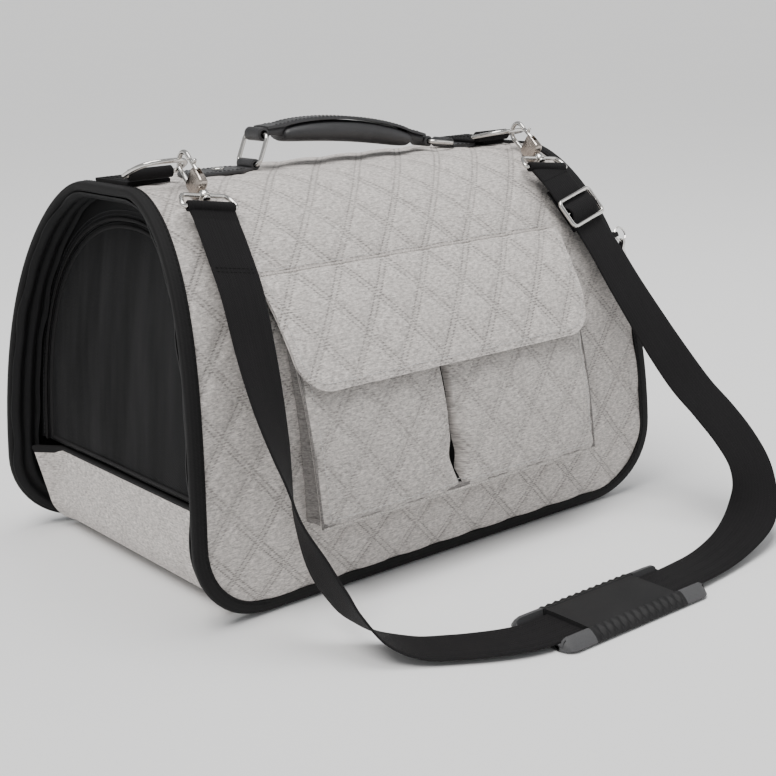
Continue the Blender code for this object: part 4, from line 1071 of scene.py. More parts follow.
def make_pocket(felt, smooth, lining, thread):
    """Two bellows pockets in one face, with side walls, piping and stitches; the walls and side piping take a dark
    felt as painted shade.
    """
    low, top = arc_at_height(POCKET_LOW_Z), arc_at_height(POCKET_TOP_Z)
    columns = np.linspace(-0.0165, 0.0215, 77)
    columns = np.concatenate([
        np.linspace(-POCKET_HALF - TUCK_X, -0.0165, 28)[:-1],
        columns,
        np.linspace(0.0215, POCKET_HALF - TUCK_X, 30)[1:],
    ])
    rows_s = np.linspace(low, top, 54)

    def belly(x, s):
        fall = (top - s) / (top - low)
        sides = 0.0
        for left, right in ((-POCKET_HALF, -0.018), (0.0, POCKET_HALF)):
            if left < x < right:
                sides = math.sin(math.pi * (x - left) / (right - left)) ** 0.6
        return 0.0022 * sides * math.sin(math.pi * min(max(fall, 0.02), 1)) ** 0.8

    def across(s):
        """Places along x at one height: they follow the tuck and spread where it is pinched."""
        fall, pinch = pocket_fall(s), tuck(0, s)[1]
        near = np.exp(-((columns / 0.008) ** 2))
        return TUCK_X + TUCK_LEAN * fall * near + columns * (1 + 1.53 * pinch * near)

    def sheet(skin):
        rows = []
        for s in rows_s:
            row = []
            for x in across(s):
                edge = min((POCKET_HALF - abs(x)) / 0.006, 1)
                foot = min((s - low) / 0.006, 1)
                soft = 0.0016 * ((1 - edge) ** 2 + (1 - foot) ** 2)
                puff = 0.7 * quilt_relief(x, s) if skin == 0 else 0
                row.append(on_wrap(x, s, pocket_stand(x, s) + belly(x, s) + puff - skin - soft))
            rows.append(row)
        return rows

    part = Part()
    uv = [[(x, s - QUILT_S) for x in across(s)] for s in rows_s]
    part.slab(sheet(0.0), sheet(0.0030), bulge=0.0006, looks=(0, 1, 0), uv=uv)
    # Painted shade: faces down the middle of the centre tuck take the black lining, as the shade in the deep crease.
    for k in range((len(rows_s) - 1) * (len(columns) - 1)):
        column = k % (len(columns) - 1)
        if abs(columns[column] + columns[column + 1]) / 2 < 0.0019:
            part.looks[k] = 1
    part.make("pocket_face", [felt, lining], "bag", ["front_pocket"], "felt", sharp=50)
    walls = Part()
    for edge in (-1, 1):
        outer, inner = [], []
        for s in rows_s:
            stand = pocket_stand(edge * POCKET_HALF, s)
            for rows, inset in ((outer, 0.0012), (inner, 0.0034)):
                row = []
                for share in np.linspace(0, 1, 9):
                    x = edge * (POCKET_HALF - inset - 0.0035 * math.sin(math.pi * share) ** 2)
                    row.append(on_wrap(x, s, 0.0004 + (stand - 0.0020) * share))
                rows.append(row)
        walls.slab(outer, inner)
    outer, inner = [], []
    for x in columns + TUCK_X:
        stand = pocket_stand(x, low)
        for rows, inset in ((outer, 0.0012), (inner, 0.0034)):
            spots = np.linspace(0, 1, 7)
            rows.append([on_wrap(x * 0.992, low + inset, 0.0004 + (stand - 0.0020) * t) for t in spots])
    walls.slab(outer, inner)
    # Painted shade: the walls take the dark felt passed as smooth, for the shade on the pocket's sides.
    walls.make("pocket_walls", smooth, "bag", slot="felt", sharp=50)

    roll = Part()
    for edge in (-1, 1):
        x = edge * (POCKET_HALF + 0.0001)
        points = [on_wrap(x, s, pocket_stand(x, s) - 0.0022) for s in rows_s]
        roll.sweep(wire_sections(points, 0.0010, SIDEWAYS, 8))
    # Painted shadow: the side piping takes the same dark felt, a dark line along the pocket's edges.
    roll.make("pocket_side_piping", smooth, "bag", slot="felt", sharp=80)
    foot = Part()
    xs = np.linspace(-POCKET_HALF, POCKET_HALF, 90)
    points = [on_wrap(x, low - 0.0004, pocket_stand(x, low) - 0.0022) for x in xs]
    foot.sweep(wire_sections(points, 0.0013, wrap_normal(low), 8))
    foot.make("pocket_foot_piping", felt, "bag", slot="felt", sharp=80)

    inset = 0.0055
    on_face = lambda x, s: on_wrap(x, s, pocket_stand(x, s) + belly(x, s) + 0.0001)
    ups = [wrap_normal(s) for s in rows_s[2:]]
    ends = (inset - POCKET_HALF, POCKET_HALF - inset)
    runs = [([on_face(x, s) for s in rows_s[2:]], ups) for x in ends]
    for s in (low + inset, top - 0.0050):
        runs.append(([on_face(x, s) for x in np.linspace(*ends, 120)], wrap_normal(s)))
    sew("pocket_stitching", thread, "bag", "felt", runs, 0.0030, 0.0015, 0.00034)


def flap_half(drop):
    """Half width of the flap at a drop below its seam, with round lower corners."""
    past = max(drop - (FLAP_DROP - FLAP_CORNER), 0)
    straight = FLAP_HALF - 0.006 * drop / FLAP_DROP - FLAP_CORNER
    return straight + math.sqrt(max(FLAP_CORNER**2 - past**2, 0))


def flap_point(x, drop, lift=0.0):
    """Point of the flap; it stands further off the wrap as it falls over the pocket."""
    start = arc_at_height(SEAM_Z)
    stand = 0.0008 + 0.0198 * (drop / FLAP_DROP) ** 0.85 + lift
    return on_wrap(x, start - drop, stand)


def make_flap(felt, lining, thread):
    """The quilted flap over the pocket."""
    bend = FLAP_DROP - FLAP_CORNER
    drops = list(np.linspace(0, bend, 36))
    drops += [bend + FLAP_CORNER * math.sin(t) for t in np.linspace(0, math.pi / 2 - 0.04, 16)[1:]]
    sheets = []
    for lift in (0.0032, 0.0002):
        rows = []
        for drop in drops:
            half, s = flap_half(drop), arc_at_height(SEAM_Z) - drop
            row = []
            for x in np.linspace(-half, half, 130):
                puff = 0.9 * quilt_relief(x, s) if lift > 0.001 else 0
                row.append(flap_point(x, drop, lift + puff))
            rows.append(row)
        sheets.append(rows)
    start = arc_at_height(SEAM_Z) - QUILT_S
    spots = np.linspace(-1, 1, 130)
    uv = [[(x * flap_half(drop), start - drop) for x in spots] for drop in drops]
    part = Part()
    part.slab(*sheets, bulge=0.0011, looks=(0, 1, 0), uv=uv)
    flap = part.make("flap_felt", [felt, lining], "flap", ["pocket_flap"], "felt", sharp=50)
    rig.sheet(flap, flat=(2 * FLAP_HALF, FLAP_DROP), held="laid", rests_on=["pocket_face"])
    inset = 0.0052
    edge = [(-(flap_half(d) - inset), d) for d in drops if d < bend]
    turn = [math.radians(a) for a in range(0, 91, 9)]
    corner = FLAP_CORNER - inset
    low_half = flap_half(bend) - FLAP_CORNER
    edge += [(-low_half - corner * math.cos(t), bend + corner * math.sin(t)) for t in turn]
    path = edge + [(-x, d) for x, d in reversed(edge)]
    points = resample([flap_point(x, d, 0.0033) for x, d in path], 0.004)
    ups = [wrap_normal(arc_at_height(max(p.z, 0.01))) for p in points]
    sew("flap_stitching", thread, "flap", "felt", [(points, ups)], 0.0030, 0.0014, 0.00036)


def make_seam(felt, thread):
    """Sewn line that the flap hangs from: a soft ridge with stitches along it."""
    s = arc_at_height(SEAM_Z) + 0.0016
    part = Part()
    sections = []
    for x in np.linspace(-FLAP_HALF, FLAP_HALF, 90):
        high = 0.0011 * max(min((FLAP_HALF - abs(x)) / 0.006, 1), 0.2)
        sections.append([on_wrap(x, s + 0.0014 * a, 0.0002 + high * b) for a, b in circle(8)])
    part.sweep(sections)
    part.make("flap_seam", felt, "bag", slot="felt", sharp=80)
    xs = np.linspace(-FLAP_HALF + 0.002, FLAP_HALF - 0.002, 80)
    runs = [([on_wrap(x, s + 0.0034, 0.0) for x in xs], wrap_normal(s))]
    sew("flap_seam_stitching", thread, "bag", "felt", runs, 0.0032, 0.0012, 0.00034)


# ---------------------------------------------------------------- padded fabric
def inflate(obj, voxel, pressure, cap, frames=20):
    """Swells a closed form as a filled cloth bag: remesh, cloth pressure, capped movement."""
    mesh = obj.data
    remesh = obj.modifiers.new("remesh", "REMESH")
    remesh.mode, remesh.voxel_size = "VOXEL", voxel
    graph = bpy.context.evaluated_depsgraph_get()
    made = bpy.data.meshes.new_from_object(obj.evaluated_get(graph))
    obj.modifiers.clear()
    materials = list(mesh.materials)
    obj.data = made
    made.materials.clear()
    for item in materials:
        made.materials.append(item)
    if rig.quick():
        made.shade_smooth()
        return
    start = np.array([v.co for v in made.vertices])
    scene = bpy.context.scene
    cloth = obj.modifiers.new("cloth", "CLOTH")
    cloth.settings.use_pressure = True
    cloth.settings.uniform_pressure_force = pressure
    cloth.settings.effector_weights.gravity = 0
    cloth.settings.quality = 5
    cloth.point_cache.frame_start, cloth.point_cache.frame_end = 1, frames
    for number in range(1, frames + 1):
        scene.frame_set(number)
    graph = bpy.context.evaluated_depsgraph_get()
    swollen = bpy.data.meshes.new_from_object(obj.evaluated_get(graph))
    obj.modifiers.clear()
    end = np.array([v.co for v in swollen.vertices])
    move = end - start
    size = np.linalg.norm(move, axis=1, keepdims=True)
    end = start + move * np.minimum(1, cap / np.maximum(size, 1e-9))
    made.vertices.foreach_set("co", end.astype(np.float32).reshape(-1))
    made.update()
    made.shade_smooth()
    scene.frame_set(1)
    smooth = obj.modifiers.new("smooth", "SUBSURF")
    smooth.levels = smooth.render_levels = 1


def make_mat(fleece):
    """The loose floor mat, inflated as a padded cushion."""
    outline = []
    half_x, half_y, radius = 0.166, 0.114, 0.020
    for cx, cy, start in ((1, 1, 0), (-1, 1, 90), (-1, -1, 180), (1, -1, 270)):
        for step in range(5):
            turn = math.radians(start + 22.5 * step)
            outline.append((cx * (half_x - radius) + radius * math.cos(turn),
                            cy * (half_y - radius) + radius * math.sin(turn)))
    sections = []
    for shrink, z in ((0.004, 0.0060), (0.0, 0.0085), (0.0, 0.0145), (0.004, 0.0168)):
        wide, deep = 1 - shrink / half_x, 1 - shrink / half_y
        sections.append([Vector((x * wide, y * deep, z)) for x, y in outline])
    part = Part()
    part.sweep(sections)
    mat = part.make("padded_mat", fleece, "bag", ["floor_mat"], "felt")
    inflate(mat, 0.0050, 3.0, 0.0022)
    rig.padded(mat, fill=0.5)


# ---------------------------------------------------------------- carry handle
def loop_rail(centre, along, across, half_along, half_across, corner, steps=8):
    """Rectangle with round corners round a centre."""
    points = []
    for sa, sb, start in ((1, 1, 0), (-1, 1, 90), (-1, -1, 180), (1, -1, 270)):
        for step in range(steps + 1):
            turn = math.radians(start + 90 * step / steps)
            a = sa * (half_along - corner) + corner * math.cos(turn)
            b = sb * (half_across - corner) + corner * math.sin(turn)
            points.append(centre + along * a + across * b)
    return points


def ring_direction(side):
    """Way that a handle ring leans from its pivot."""
    lean = LEFT_LEAN if side < 0 else RIGHT_LEAN
    return Vector((-side * math.sin(lean), 0, math.cos(lean)))


def ring_far(side):
    """Centre of the handle's loop on a ring."""
    pivot = LEFT_PIVOT if side < 0 else RIGHT_PIVOT
    return pivot + ring_direction(side) * HANDLE_RING


def make_handle_ring(end, side, metal):
    pivot = LEFT_PIVOT if side < 0 else RIGHT_PIVOT
    along, across = ring_direction(side), ACROSS
    rail = loop_rail(pivot + along * HANDLE_RING / 2, along, across, HANDLE_RING / 2, 0.0150, 0.0045)
    part = Part()
    part.sweep(wire_sections(rail, WIRE_R, along.cross(across).normalized(), 16, True), closed=True)
    body = "handle_ring_l" if side < 0 else "handle_ring_r"
    part.make("handle_loop_" + end, metal, body, ["handle_ring_" + end], "nickel", sharp=80)


def handle_axis(u, lift=0.0):
    """Point and up direction of the arched grip at a share u of its length."""
    start, end = ring_far(-1), ring_far(1)
    chord = end - start
    up = Vector((-chord.z, 0, chord.x)).normalized()
    rise = 0.0085 * math.sin(math.pi * u) ** 0.8 if 0 < u < 1 else 0.0
    return start + chord * u + up * (rise + lift), up


def swell_at(u):
    """How far the padding fills the grip at u."""
    return math.sin(math.pi * min(max((u - 0.115) / 0.77, 0), 1)) ** 0.35


def strap_middle(u):
    """Underside middle of the handle's top strip."""
    middle, up = handle_axis(u, -0.0030 + 0.0042 + 0.0046 * swell_at(u) + 0.0004)
    lowest, _ = handle_axis(u, 0.0030)
    return (lowest if (middle - lowest).dot(up) < 0 else middle), up


def ring_about(centre, axis, radius, width, inner, count=24):
    """Sections of a leather or webbing loop that wraps round a bar."""
    side = axis.orthogonal().normalized()
    out = axis.cross(side)
    made = []
    for a, b in circle(count):
        way = side * a + out * b
        low, high = centre + way * inner, centre + way * radius
        half, lip = axis * width / 2, axis * 0.0005
        waist = low.lerp(high, 0.6)
        ring = [low - half, low + half, waist + half, high + half - lip, high - half + lip]
        made.append(ring + [waist - half])
    return made


def make_handle(leather, thread):
    """Padded grip, the strip sewn over it with a neck and a loop at each end."""
    across = ACROSS
    sections = []
    for u in np.linspace(0.115, 0.885, 60):
        swell = swell_at(u)
        wide, tall = 0.0105 + 0.0050 * swell, 0.0042 + 0.0046 * swell
        centre, up = handle_axis(u, -0.0030)
        ring = []
        for k, (a, b) in enumerate(circle(36)):
            crease = 1 - 0.035 * math.exp(-(((2 * math.pi * k / 36 - 5.2) / 0.10) ** 2))
            ring.append(centre + across * wide * a * crease + up * tall * b * crease)
        sections.append(ring)
    part = Part()
    part.sweep(sections)
    grip = part.make("grip_leather", leather, "handle", ["handle_grip"], "leather", sharp=60)
    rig.padded(grip, fill=0.9)
    part = Part()
    sections = []
    for u in np.linspace(0.02, 0.98, 70):
        middle, up = strap_middle(u)
        half, lip = 0.0100, 0.0006
        flat = ((-half, 0.0), (half, 0.0), (half, 0.0012), (half - lip, 0.0022), (0.0, 0.0025))
        flat += ((lip - half, 0.0022), (-half, 0.0012))
        sections.append([middle + across * a + up * b for a, b in flat])
    part.sweep(sections)
    for at, hole in ((ring_far(-1), 0.0033), (ring_far(1), 0.0024)):
        part.sweep(ring_about(at, across, hole + 0.0020, 0.020, hole), closed=True)
    for span in ((0.030, 0.135), (0.970, 0.865)):
        sections = []
        for u in np.linspace(*span, 14):
            middle, up = strap_middle(u)
            share = abs(u - span[0]) / abs(span[1] - span[0])
            deep = 0.0058 + 0.0030 * share
            wide = 0.0098 - 0.0012 * math.sin(math.pi * share)
            centre = middle - up * (deep * 0.5 - 0.0004)
            ring = []
            for a, b in circle(24):
                box = 0.86 / max(abs(a), abs(b)) ** 0.6
                ring.append(centre + across * wide * a * box + up * deep * 0.55 * b * box)
            sections.append(ring)
        part.sweep(sections)
    part.make("handle_strip", leather, "handle", ["handle_strap"], "leather", sharp=50)
    seam = Part()
    for edge in (-1, 1):
        line, ups = [], []
        for u in np.linspace(0.06, 0.94, 70):
            middle, up = strap_middle(u)
            line.append(middle + across * edge * 0.0080 + up * 0.0023)
            ups.append(up)
        add_stitches(seam, line, ups, 0.0026, 0.0012, 0.00032)
    for u in (0.118, 0.882):
        centre, up = handle_axis(u, -0.0030)
        turns = np.linspace(3.3, 6.1, 12)
        line = [centre + across * 0.0108 * math.cos(t) + up * 0.0045 * math.sin(t) for t in turns]
        add_stitches(seam, line, [(p - centre).normalized() for p in line], 0.0020, 0.0010, 0.0003)
    seam.make("handle_stitching", thread, "handle", slot="leather")


def make_handle_tab(end, side, leather, thread):
    """Leather tongue sewn to the top, with the loop that holds a ring."""
    pivot = LEFT_PIVOT if side < 0 else RIGHT_PIVOT
    floor = HEIGHT - 0.0003
    tongue = 0.060 if side < 0 else 0.032
    spine = []
    for a in np.linspace(0.0030, tongue, 40):
        if a < 0.016:
            half = 0.0105 + 0.0055 * (a - 0.003) / 0.013
        else:
            past = max(a - (tongue - 0.0120), 0)
            half = 0.0160 * math.sqrt(max(1 - (past / 0.0120) ** 2, 0.004))
        spine.append((a, half))
    sheets = []
    for z in (floor + 0.0027, floor):
        rows = []
        for a, half in spine:
            x = pivot.x + side * a
            rows.append([Vector((x, half * share, z)) for share in np.linspace(-1, 1, 15)])
        sheets.append(rows)
    part = Part()
    part.slab(*sheets, bulge=0.0005)
    part.sweep(ring_about(pivot, ACROSS, 0.0043, 0.021, 0.0024), closed=True)
    part.make("handle_tongue_" + end, leather, "bag", ["handle_tab_" + end], "leather", sharp=50)
    line = [(a, half - 0.0022) for a, half in spine[3:-2]]
    path = [Vector((pivot.x + side * a, h, floor + 0.0028)) for a, h in line]
    path += [Vector((pivot.x + side * a, -h, floor + 0.0028)) for a, h in reversed(line)]
    name = "handle_tongue_stitching_" + end
    sew(name, thread, "bag", "leather", [(path, UP)], 0.0026, 0.0012, 0.00032)


def make_rivet(metal):
    """Domed rivet cap on the left tongue."""
    base = Vector((LEFT_PIVOT.x - 0.028, 0, HEIGHT + 0.0026))
    sections = []
    outline = ((0.0, 0.0046), (0.0006, 0.0047), (0.0011, 0.0043), (0.0016, 0.0034))
    outline += ((0.0019, 0.0018), (0.0020, 0.0004))
    for height, radius in outline:
        sections.append([base + Vector((radius * a, radius * b, height)) for a, b in circle(40)])
    part = Part()
    part.sweep(sections)
    part.make("rivet_cap", metal, "bag", ["handle_rivet_left"], "nickel", sharp=50)


# ---------------------------------------------------------------- strap tabs, rings and hooks
def make_strap_tab(end, web, thread):
    """Webbing tab with a boxed cross of stitches and the loop for a D-ring."""
    y, z = TAB_BAR
    low, high = TAB_X[end] - 0.0175, TAB_X[end] + 0.0175
    floor = HEIGHT - 0.0003
    if end == "right":
        low_plate, top = RIGHT_PIVOT.x + 0.0323, floor + 0.0055
    else:
        low_plate, top = low, floor + 0.0030
    part = Part()
    ys = np.linspace(y + 0.0030, 0.031, 30)

    def plate(start, stop, level):
        return [[Vector((x, v, level)) for x in np.linspace(start, stop, 16)] for v in ys]

    part.slab(plate(low_plate, high, top), plate(low_plate, high, floor), bulge=0.0004)
    if end == "right":
        stop = low_plate + 0.001
        part.slab(plate(low, stop, top), plate(low, stop, top - 0.0024), bulge=0.0004)
    loop = ring_about(Vector((TAB_X[end], y, z)), SIDEWAYS, 0.0044, 0.035, 0.0025, 30)
    part.sweep(loop, closed=True)
    part.make("strap_loop_" + end, web, "bag", ["strap_tab_" + end], "webbing", sharp=50)
    left, right, near, far = low + 0.0035, high - 0.0035, y + 0.010, 0.0275
    box = [(left, near), (right, near), (right, far), (left, far)]
    runs = []
    for a, b in list(zip(box, box[1:] + box[:1])) + [(box[0], box[2]), (box[1], box[3])]:
        runs.append((resample([Vector((*a, top + 0.0001)), Vector((*b, top + 0.0001))], 0.004), UP))
    name = "strap_loop_stitching_" + end
    sew(name, thread, "bag", "webbing", runs, 0.0026, 0.0010, 0.00032)


def strap_ring_pivot(end):
    return Vector((TAB_X[end], *TAB_BAR))


def strap_ring_out(end):
    tilt = math.radians(HOOKS[end][1])
    return Vector((0, -math.cos(tilt), math.sin(tilt)))


def strap_ring_apex(end):
    """Place on the D-ring's bow where the hook hangs."""
    aside = abs(HOOKS[end][0] - TAB_X[end]) / STRAP_RING_HALF
    depth = STRAP_RING_DEPTH * math.sin(math.acos(aside ** (1 / DEE_POWER))) ** DEE_POWER
    apex = strap_ring_pivot(end) + strap_ring_out(end) * depth
    return Vector((HOOKS[end][0], apex.y, apex.z))


def hook_frame(end):
    """Top, downward, widthwise and sideways directions of one snap hook."""
    down = HOOKS[end][2].normalized()
    top = strap_ring_apex(end) - down * HOOK_GRIP
    heading = math.radians(HOOKS[end][3])
    wide = Vector((math.cos(heading), math.sin(heading), 0))
    wide = (wide - down * wide.dot(down)).normalized()
    sideways = (SIDEWAYS - down * down.x).normalized()
    return top, down, wide, sideways


def make_strap_ring(end, metal):
    """D-ring with a straight bar in the tab and a squared bow."""
    pivot, out, across = strap_ring_pivot(end), strap_ring_out(end), SIDEWAYS
    rail = [pivot - across * STRAP_RING_HALF, pivot + across * STRAP_RING_HALF]
    for turn in np.linspace(0.06, math.pi - 0.06, 41):
        wide = math.copysign(abs(math.cos(turn)) ** DEE_POWER, math.cos(turn))
        deep = STRAP_RING_DEPTH * math.sin(turn) ** DEE_POWER
        rail.append(pivot + across * STRAP_RING_HALF * wide + out * deep)
    rail = rounded(resample(rail + rail[:1], 0.0012)[:-1], True, 1)
    part = Part()
    part.sweep(wire_sections(rail, 0.0018, across.cross(out).normalized(), 16, True), closed=True)
    part.make("dee_" + end, metal, "strap_ring_" + end, ["strap_ring_" + end], "nickel", sharp=80)


def bow_side(end):
    """Direction across the hook's bow."""
    _, down, wide, sideways = hook_frame(end)
    face = sideways if end == "right" else (sideways + wide * 0.6).normalized()
    face = (face - down * face.dot(down)).normalized()
    return down.cross(face).normalized()


def make_hook(end, metal, warm):
    """Snap hook: bow and body, sliding gate with its thumb peg, and the web eye."""
    top, down, wide, _ = hook_frame(end)
    over = bow_side(end)
    face = over.cross(down).normalized()
    at = lambda t, u, v=0.0: top + down * t + over * u + face * v
    radius = 0.0075
    centre_t = 0.0018 + radius
    rail = [at(0.027, -radius), at(0.022, -radius), at(0.016, -radius)]
    for turn in np.linspace(0, math.pi, 25):
        rail.append(at(centre_t - radius * math.sin(turn), -radius * math.cos(turn)))
    rail.append(at(0.0143, radius))
    part = Part()
    sections = wire_sections(rail, 0.0018, face, 16)
    tip = sum(sections[-1], Vector()) / 16
    sections.append([tip + down * 0.0005 + (p - tip) * 0.7 for p in sections[-1]])
    part.sweep(sections)
    shape = ((0.0236, 0.0072), (0.0242, 0.0082), (0.0262, 0.0092), (0.0300, 0.0093))
    shape += ((0.0340, 0.0092), (0.0375, 0.0090), (0.0396, 0.0084), (0.0405, 0.0062))
    # A channel on one side of the body takes the gate's rod and its thumb peg.
    channel = 0.0323
    gate_side = sorted(shape + ((channel - 0.0001, 0.00925), (channel, 0.00925)))
    edge = gate_side + [(t, -u) for t, u in reversed(shape)]
    slotted = [(t, min(u, 0.0056) if t < channel else u) for t, u in edge]
    middle = 0.0320
    layers = []
    levels = ((-0.0033, 0.80), (-0.0031, 0.90), (-0.0022, 0.985), (-0.0019, 0.99), (-0.00185, 0.99))
    levels += tuple((-v, shrink) for v, shrink in reversed(levels))
    for v, shrink in levels:
        outline = slotted if abs(v) < 0.00188 else edge
        squeeze = 0.5 + 0.5 * shrink
        layers.append([at(middle + (t - middle) * squeeze, u * shrink, v) for t, u in outline])
    part.sweep(layers, look=1)
    part.sweep(rod_sections(at(0.0385, 0), at(0.0492, 0), 0.0018))
    part.sweep(rod_sections(at(0.0480, 0), at(0.0501, 0), 0.0033, 24, 0.0007))
    stands_for = ["hook_body_" + end]
    part.make("snap_hook_" + end, [metal, warm], "hook_" + end, stands_for, "nickel", sharp=45)
    part = Part()
    part.sweep(rod_sections(at(0.0149, radius), at(0.0270, radius), 0.0015, 20, 0.0004))
    peg, tip = at(0.0205, radius - 0.0005), at(0.0205, radius + 0.0048)
    part.sweep(rod_sections(peg, tip, 0.0014, 16, 0.0005))
    part.make("snap_gate_" + end, metal, "gate_" + end, ["hook_gate_" + end], "nickel", sharp=50)
    bar = HOOK_LENGTH
    half = [(0.0450, 0.0160), (0.0455, 0.0180), (0.0475, 0.0198)]
    half += [(bar - 0.0030, 0.0222), (bar - 0.0008, 0.0220), (bar, 0.0205)]
    rail = [top + down * t + wide * w for t, w in half]
    rail += [top + down * t - wide * w for t, w in reversed(half)]
    rail = rounded(resample(rail + rail[:1], 0.0013)[:-1], True, 1)
    part = Part()
    part.sweep(wire_sections(rail, WIRE_R, down.cross(wide).normalized(), 16, True), closed=True)
    part.sweep(rod_sections(at(0.0423, 0), at(0.0475, 0), 0.0040, 28, 0.0008))
    part.make("web_eye_" + end, metal, "eye_" + end, ["hook_eye_" + end], "nickel", sharp=60)


# ---------------------------------------------------------------- shoulder strap
def spline(points, per_span):
    """Smooth run of stations through the given ones."""
    points = [np.array(p, float) for p in points]
    ends = [2 * points[0] - points[1]] + points + [2 * points[-1] - points[-2]]
    made = []
    for a, b, c, d in zip(ends, ends[1:], ends[2:], ends[3:]):
        for step in range(per_span):
            t = step / per_span
            made.append(0.5 * (2 * b + (c - a) * t + (2 * a - 5 * b + 4 * c - d) * t**2
                               + (3 * b - a - 3 * c + d) * t**3))
    made.append(points[-1])
    return made


def webbing_frames(route, per_span):
    """(middle, across, face) of the webbing at each station of its route."""
    stations = spline(route, per_span)
    middles = [Vector(p[:3]) for p in stations]
    frames = []
    for middle, along, station in zip(middles, tangents(middles), stations):
        heading = math.radians(station[3])
        across = Vector((math.cos(heading), math.sin(heading), 0))
        across = (across - along * across.dot(along)).normalized()
        frames.append((middle, across, along.cross(across).normalized()))
    return frames


def web_section(middle, across, face, width=WEBBING, thick=WEB_THICK):
    """Flat section with rounded selvedges and a barely raised middle."""
    half, deep = width / 2, thick / 2
    top = [(-half, 0.0), (-half + 0.0005, 0.75 * deep), (-half + 0.0016, deep)]
    top += [(a * half, deep) for a in (-0.6, -0.2, 0.2, 0.6)]
    top += [(half - 0.0016, deep), (half - 0.0005, 0.75 * deep), (half, 0.0)]
    low = [(a, -b) for a, b in reversed(top[1:-1])]
    return [middle + across * a + face * b for a, b in top + low]


def make_strap(web, metal, thread):
    """Shoulder webbing with its end loops, the slider and the sewn return."""
    frames = webbing_frames(STRAP_ROUTE, 6)
    middles = [f[0] for f in frames]
    part = Part()
    part.sweep([web_section(*f) for f in frames])
    for end in ("left", "right"):
        top, down, wide, _ = hook_frame(end)
        bar = top + down * HOOK_LENGTH
        first, across, face = frames[0] if end == "left" else frames[-1]
        along = (first - bar).normalized()
        part.sweep(ring_about(bar, wide, 0.0040, WEBBING, 0.0022, 30), closed=True)
        skirt = []
        for share in np.linspace(0.25, 1.0, 8):
            centre = bar.lerp(first + along * 0.001, share)
            side = wide.lerp(across if across.dot(wide) > 0 else -across, share).normalized()
            thick = WEB_THICK * (1.9 - 0.8 * share)
            skirt.append(web_section(centre, side, along.cross(side).normalized(), WEBBING, thick))
        part.sweep(skirt)
    strap = part.make("shoulder_webbing", web, "bag", ["strap_webbing"], "webbing", sharp=60)

    length = sum((b - a).length for a, b in zip(middles, middles[1:]))
    run, place = 0.0, 0
    coarse = webbing_frames(STRAP_ROUTE, 2)
    lengths = [(b[0] - a[0]).length for a, b in zip(coarse, coarse[1:])]
    while run < SLIDER_AT * sum(lengths):
        run += lengths[place]
        place += 1
    middle, across, face = coarse[place]
    along = across.cross(face).normalized()
    out = face if face.y < 0 else -face
    centre = middle + out * 0.0036
    rail = loop_rail(centre, along, across, 0.0118, 0.0225, 0.0040)
    part = Part()
    part.sweep(wire_sections(rail, WIRE_R, along.cross(across).normalized(), 16, True), closed=True)
    part.sweep(rod_sections(centre - across * 0.0224, centre + across * 0.0224, 0.0015, 16))
    slider = part.make("tri_glide", metal, "bag", ["strap_slider"], "nickel", sharp=60)
    part = Part()
    sections = []
    for t in np.linspace(-1, 1, 25):
        rise = 0.0009 + 0.0052 * math.cos(math.pi / 2 * t) ** 2
        spot = middle + along * 0.0112 * t + out * rise
        sections.append(web_section(spot, across, out, WEBBING - 0.001))
    part.sweep(sections)
    hump = part.make("webbing_over_slider", web, "bag", slot="webbing", sharp=60)

    back = [(m - out * 0.0030, a, f) for m, a, f in coarse[place - 1 : -1]]
    part = Part()
    part.sweep([web_section(*f) for f in back])
    tail = part.make("webbing_return", web, "bag", ["strap_return"], "webbing", sharp=60)

    m, a, f = coarse[3]
    along, up = a.cross(f).normalized(), f if f.y < 0 else -f
    runs = []
    for shift in (-0.0016, 0.0016):
        line = [m + along * shift + a * w + up * 0.0009 for w in np.linspace(-0.017, 0.017, 14)]
        runs.append((line, up))
    sewn = sew("webbing_stitching", thread, "bag", "webbing", runs, 0.0026, 0.0010, 0.00034)
    return strap, [slider, tail, sewn, hump], middles, length


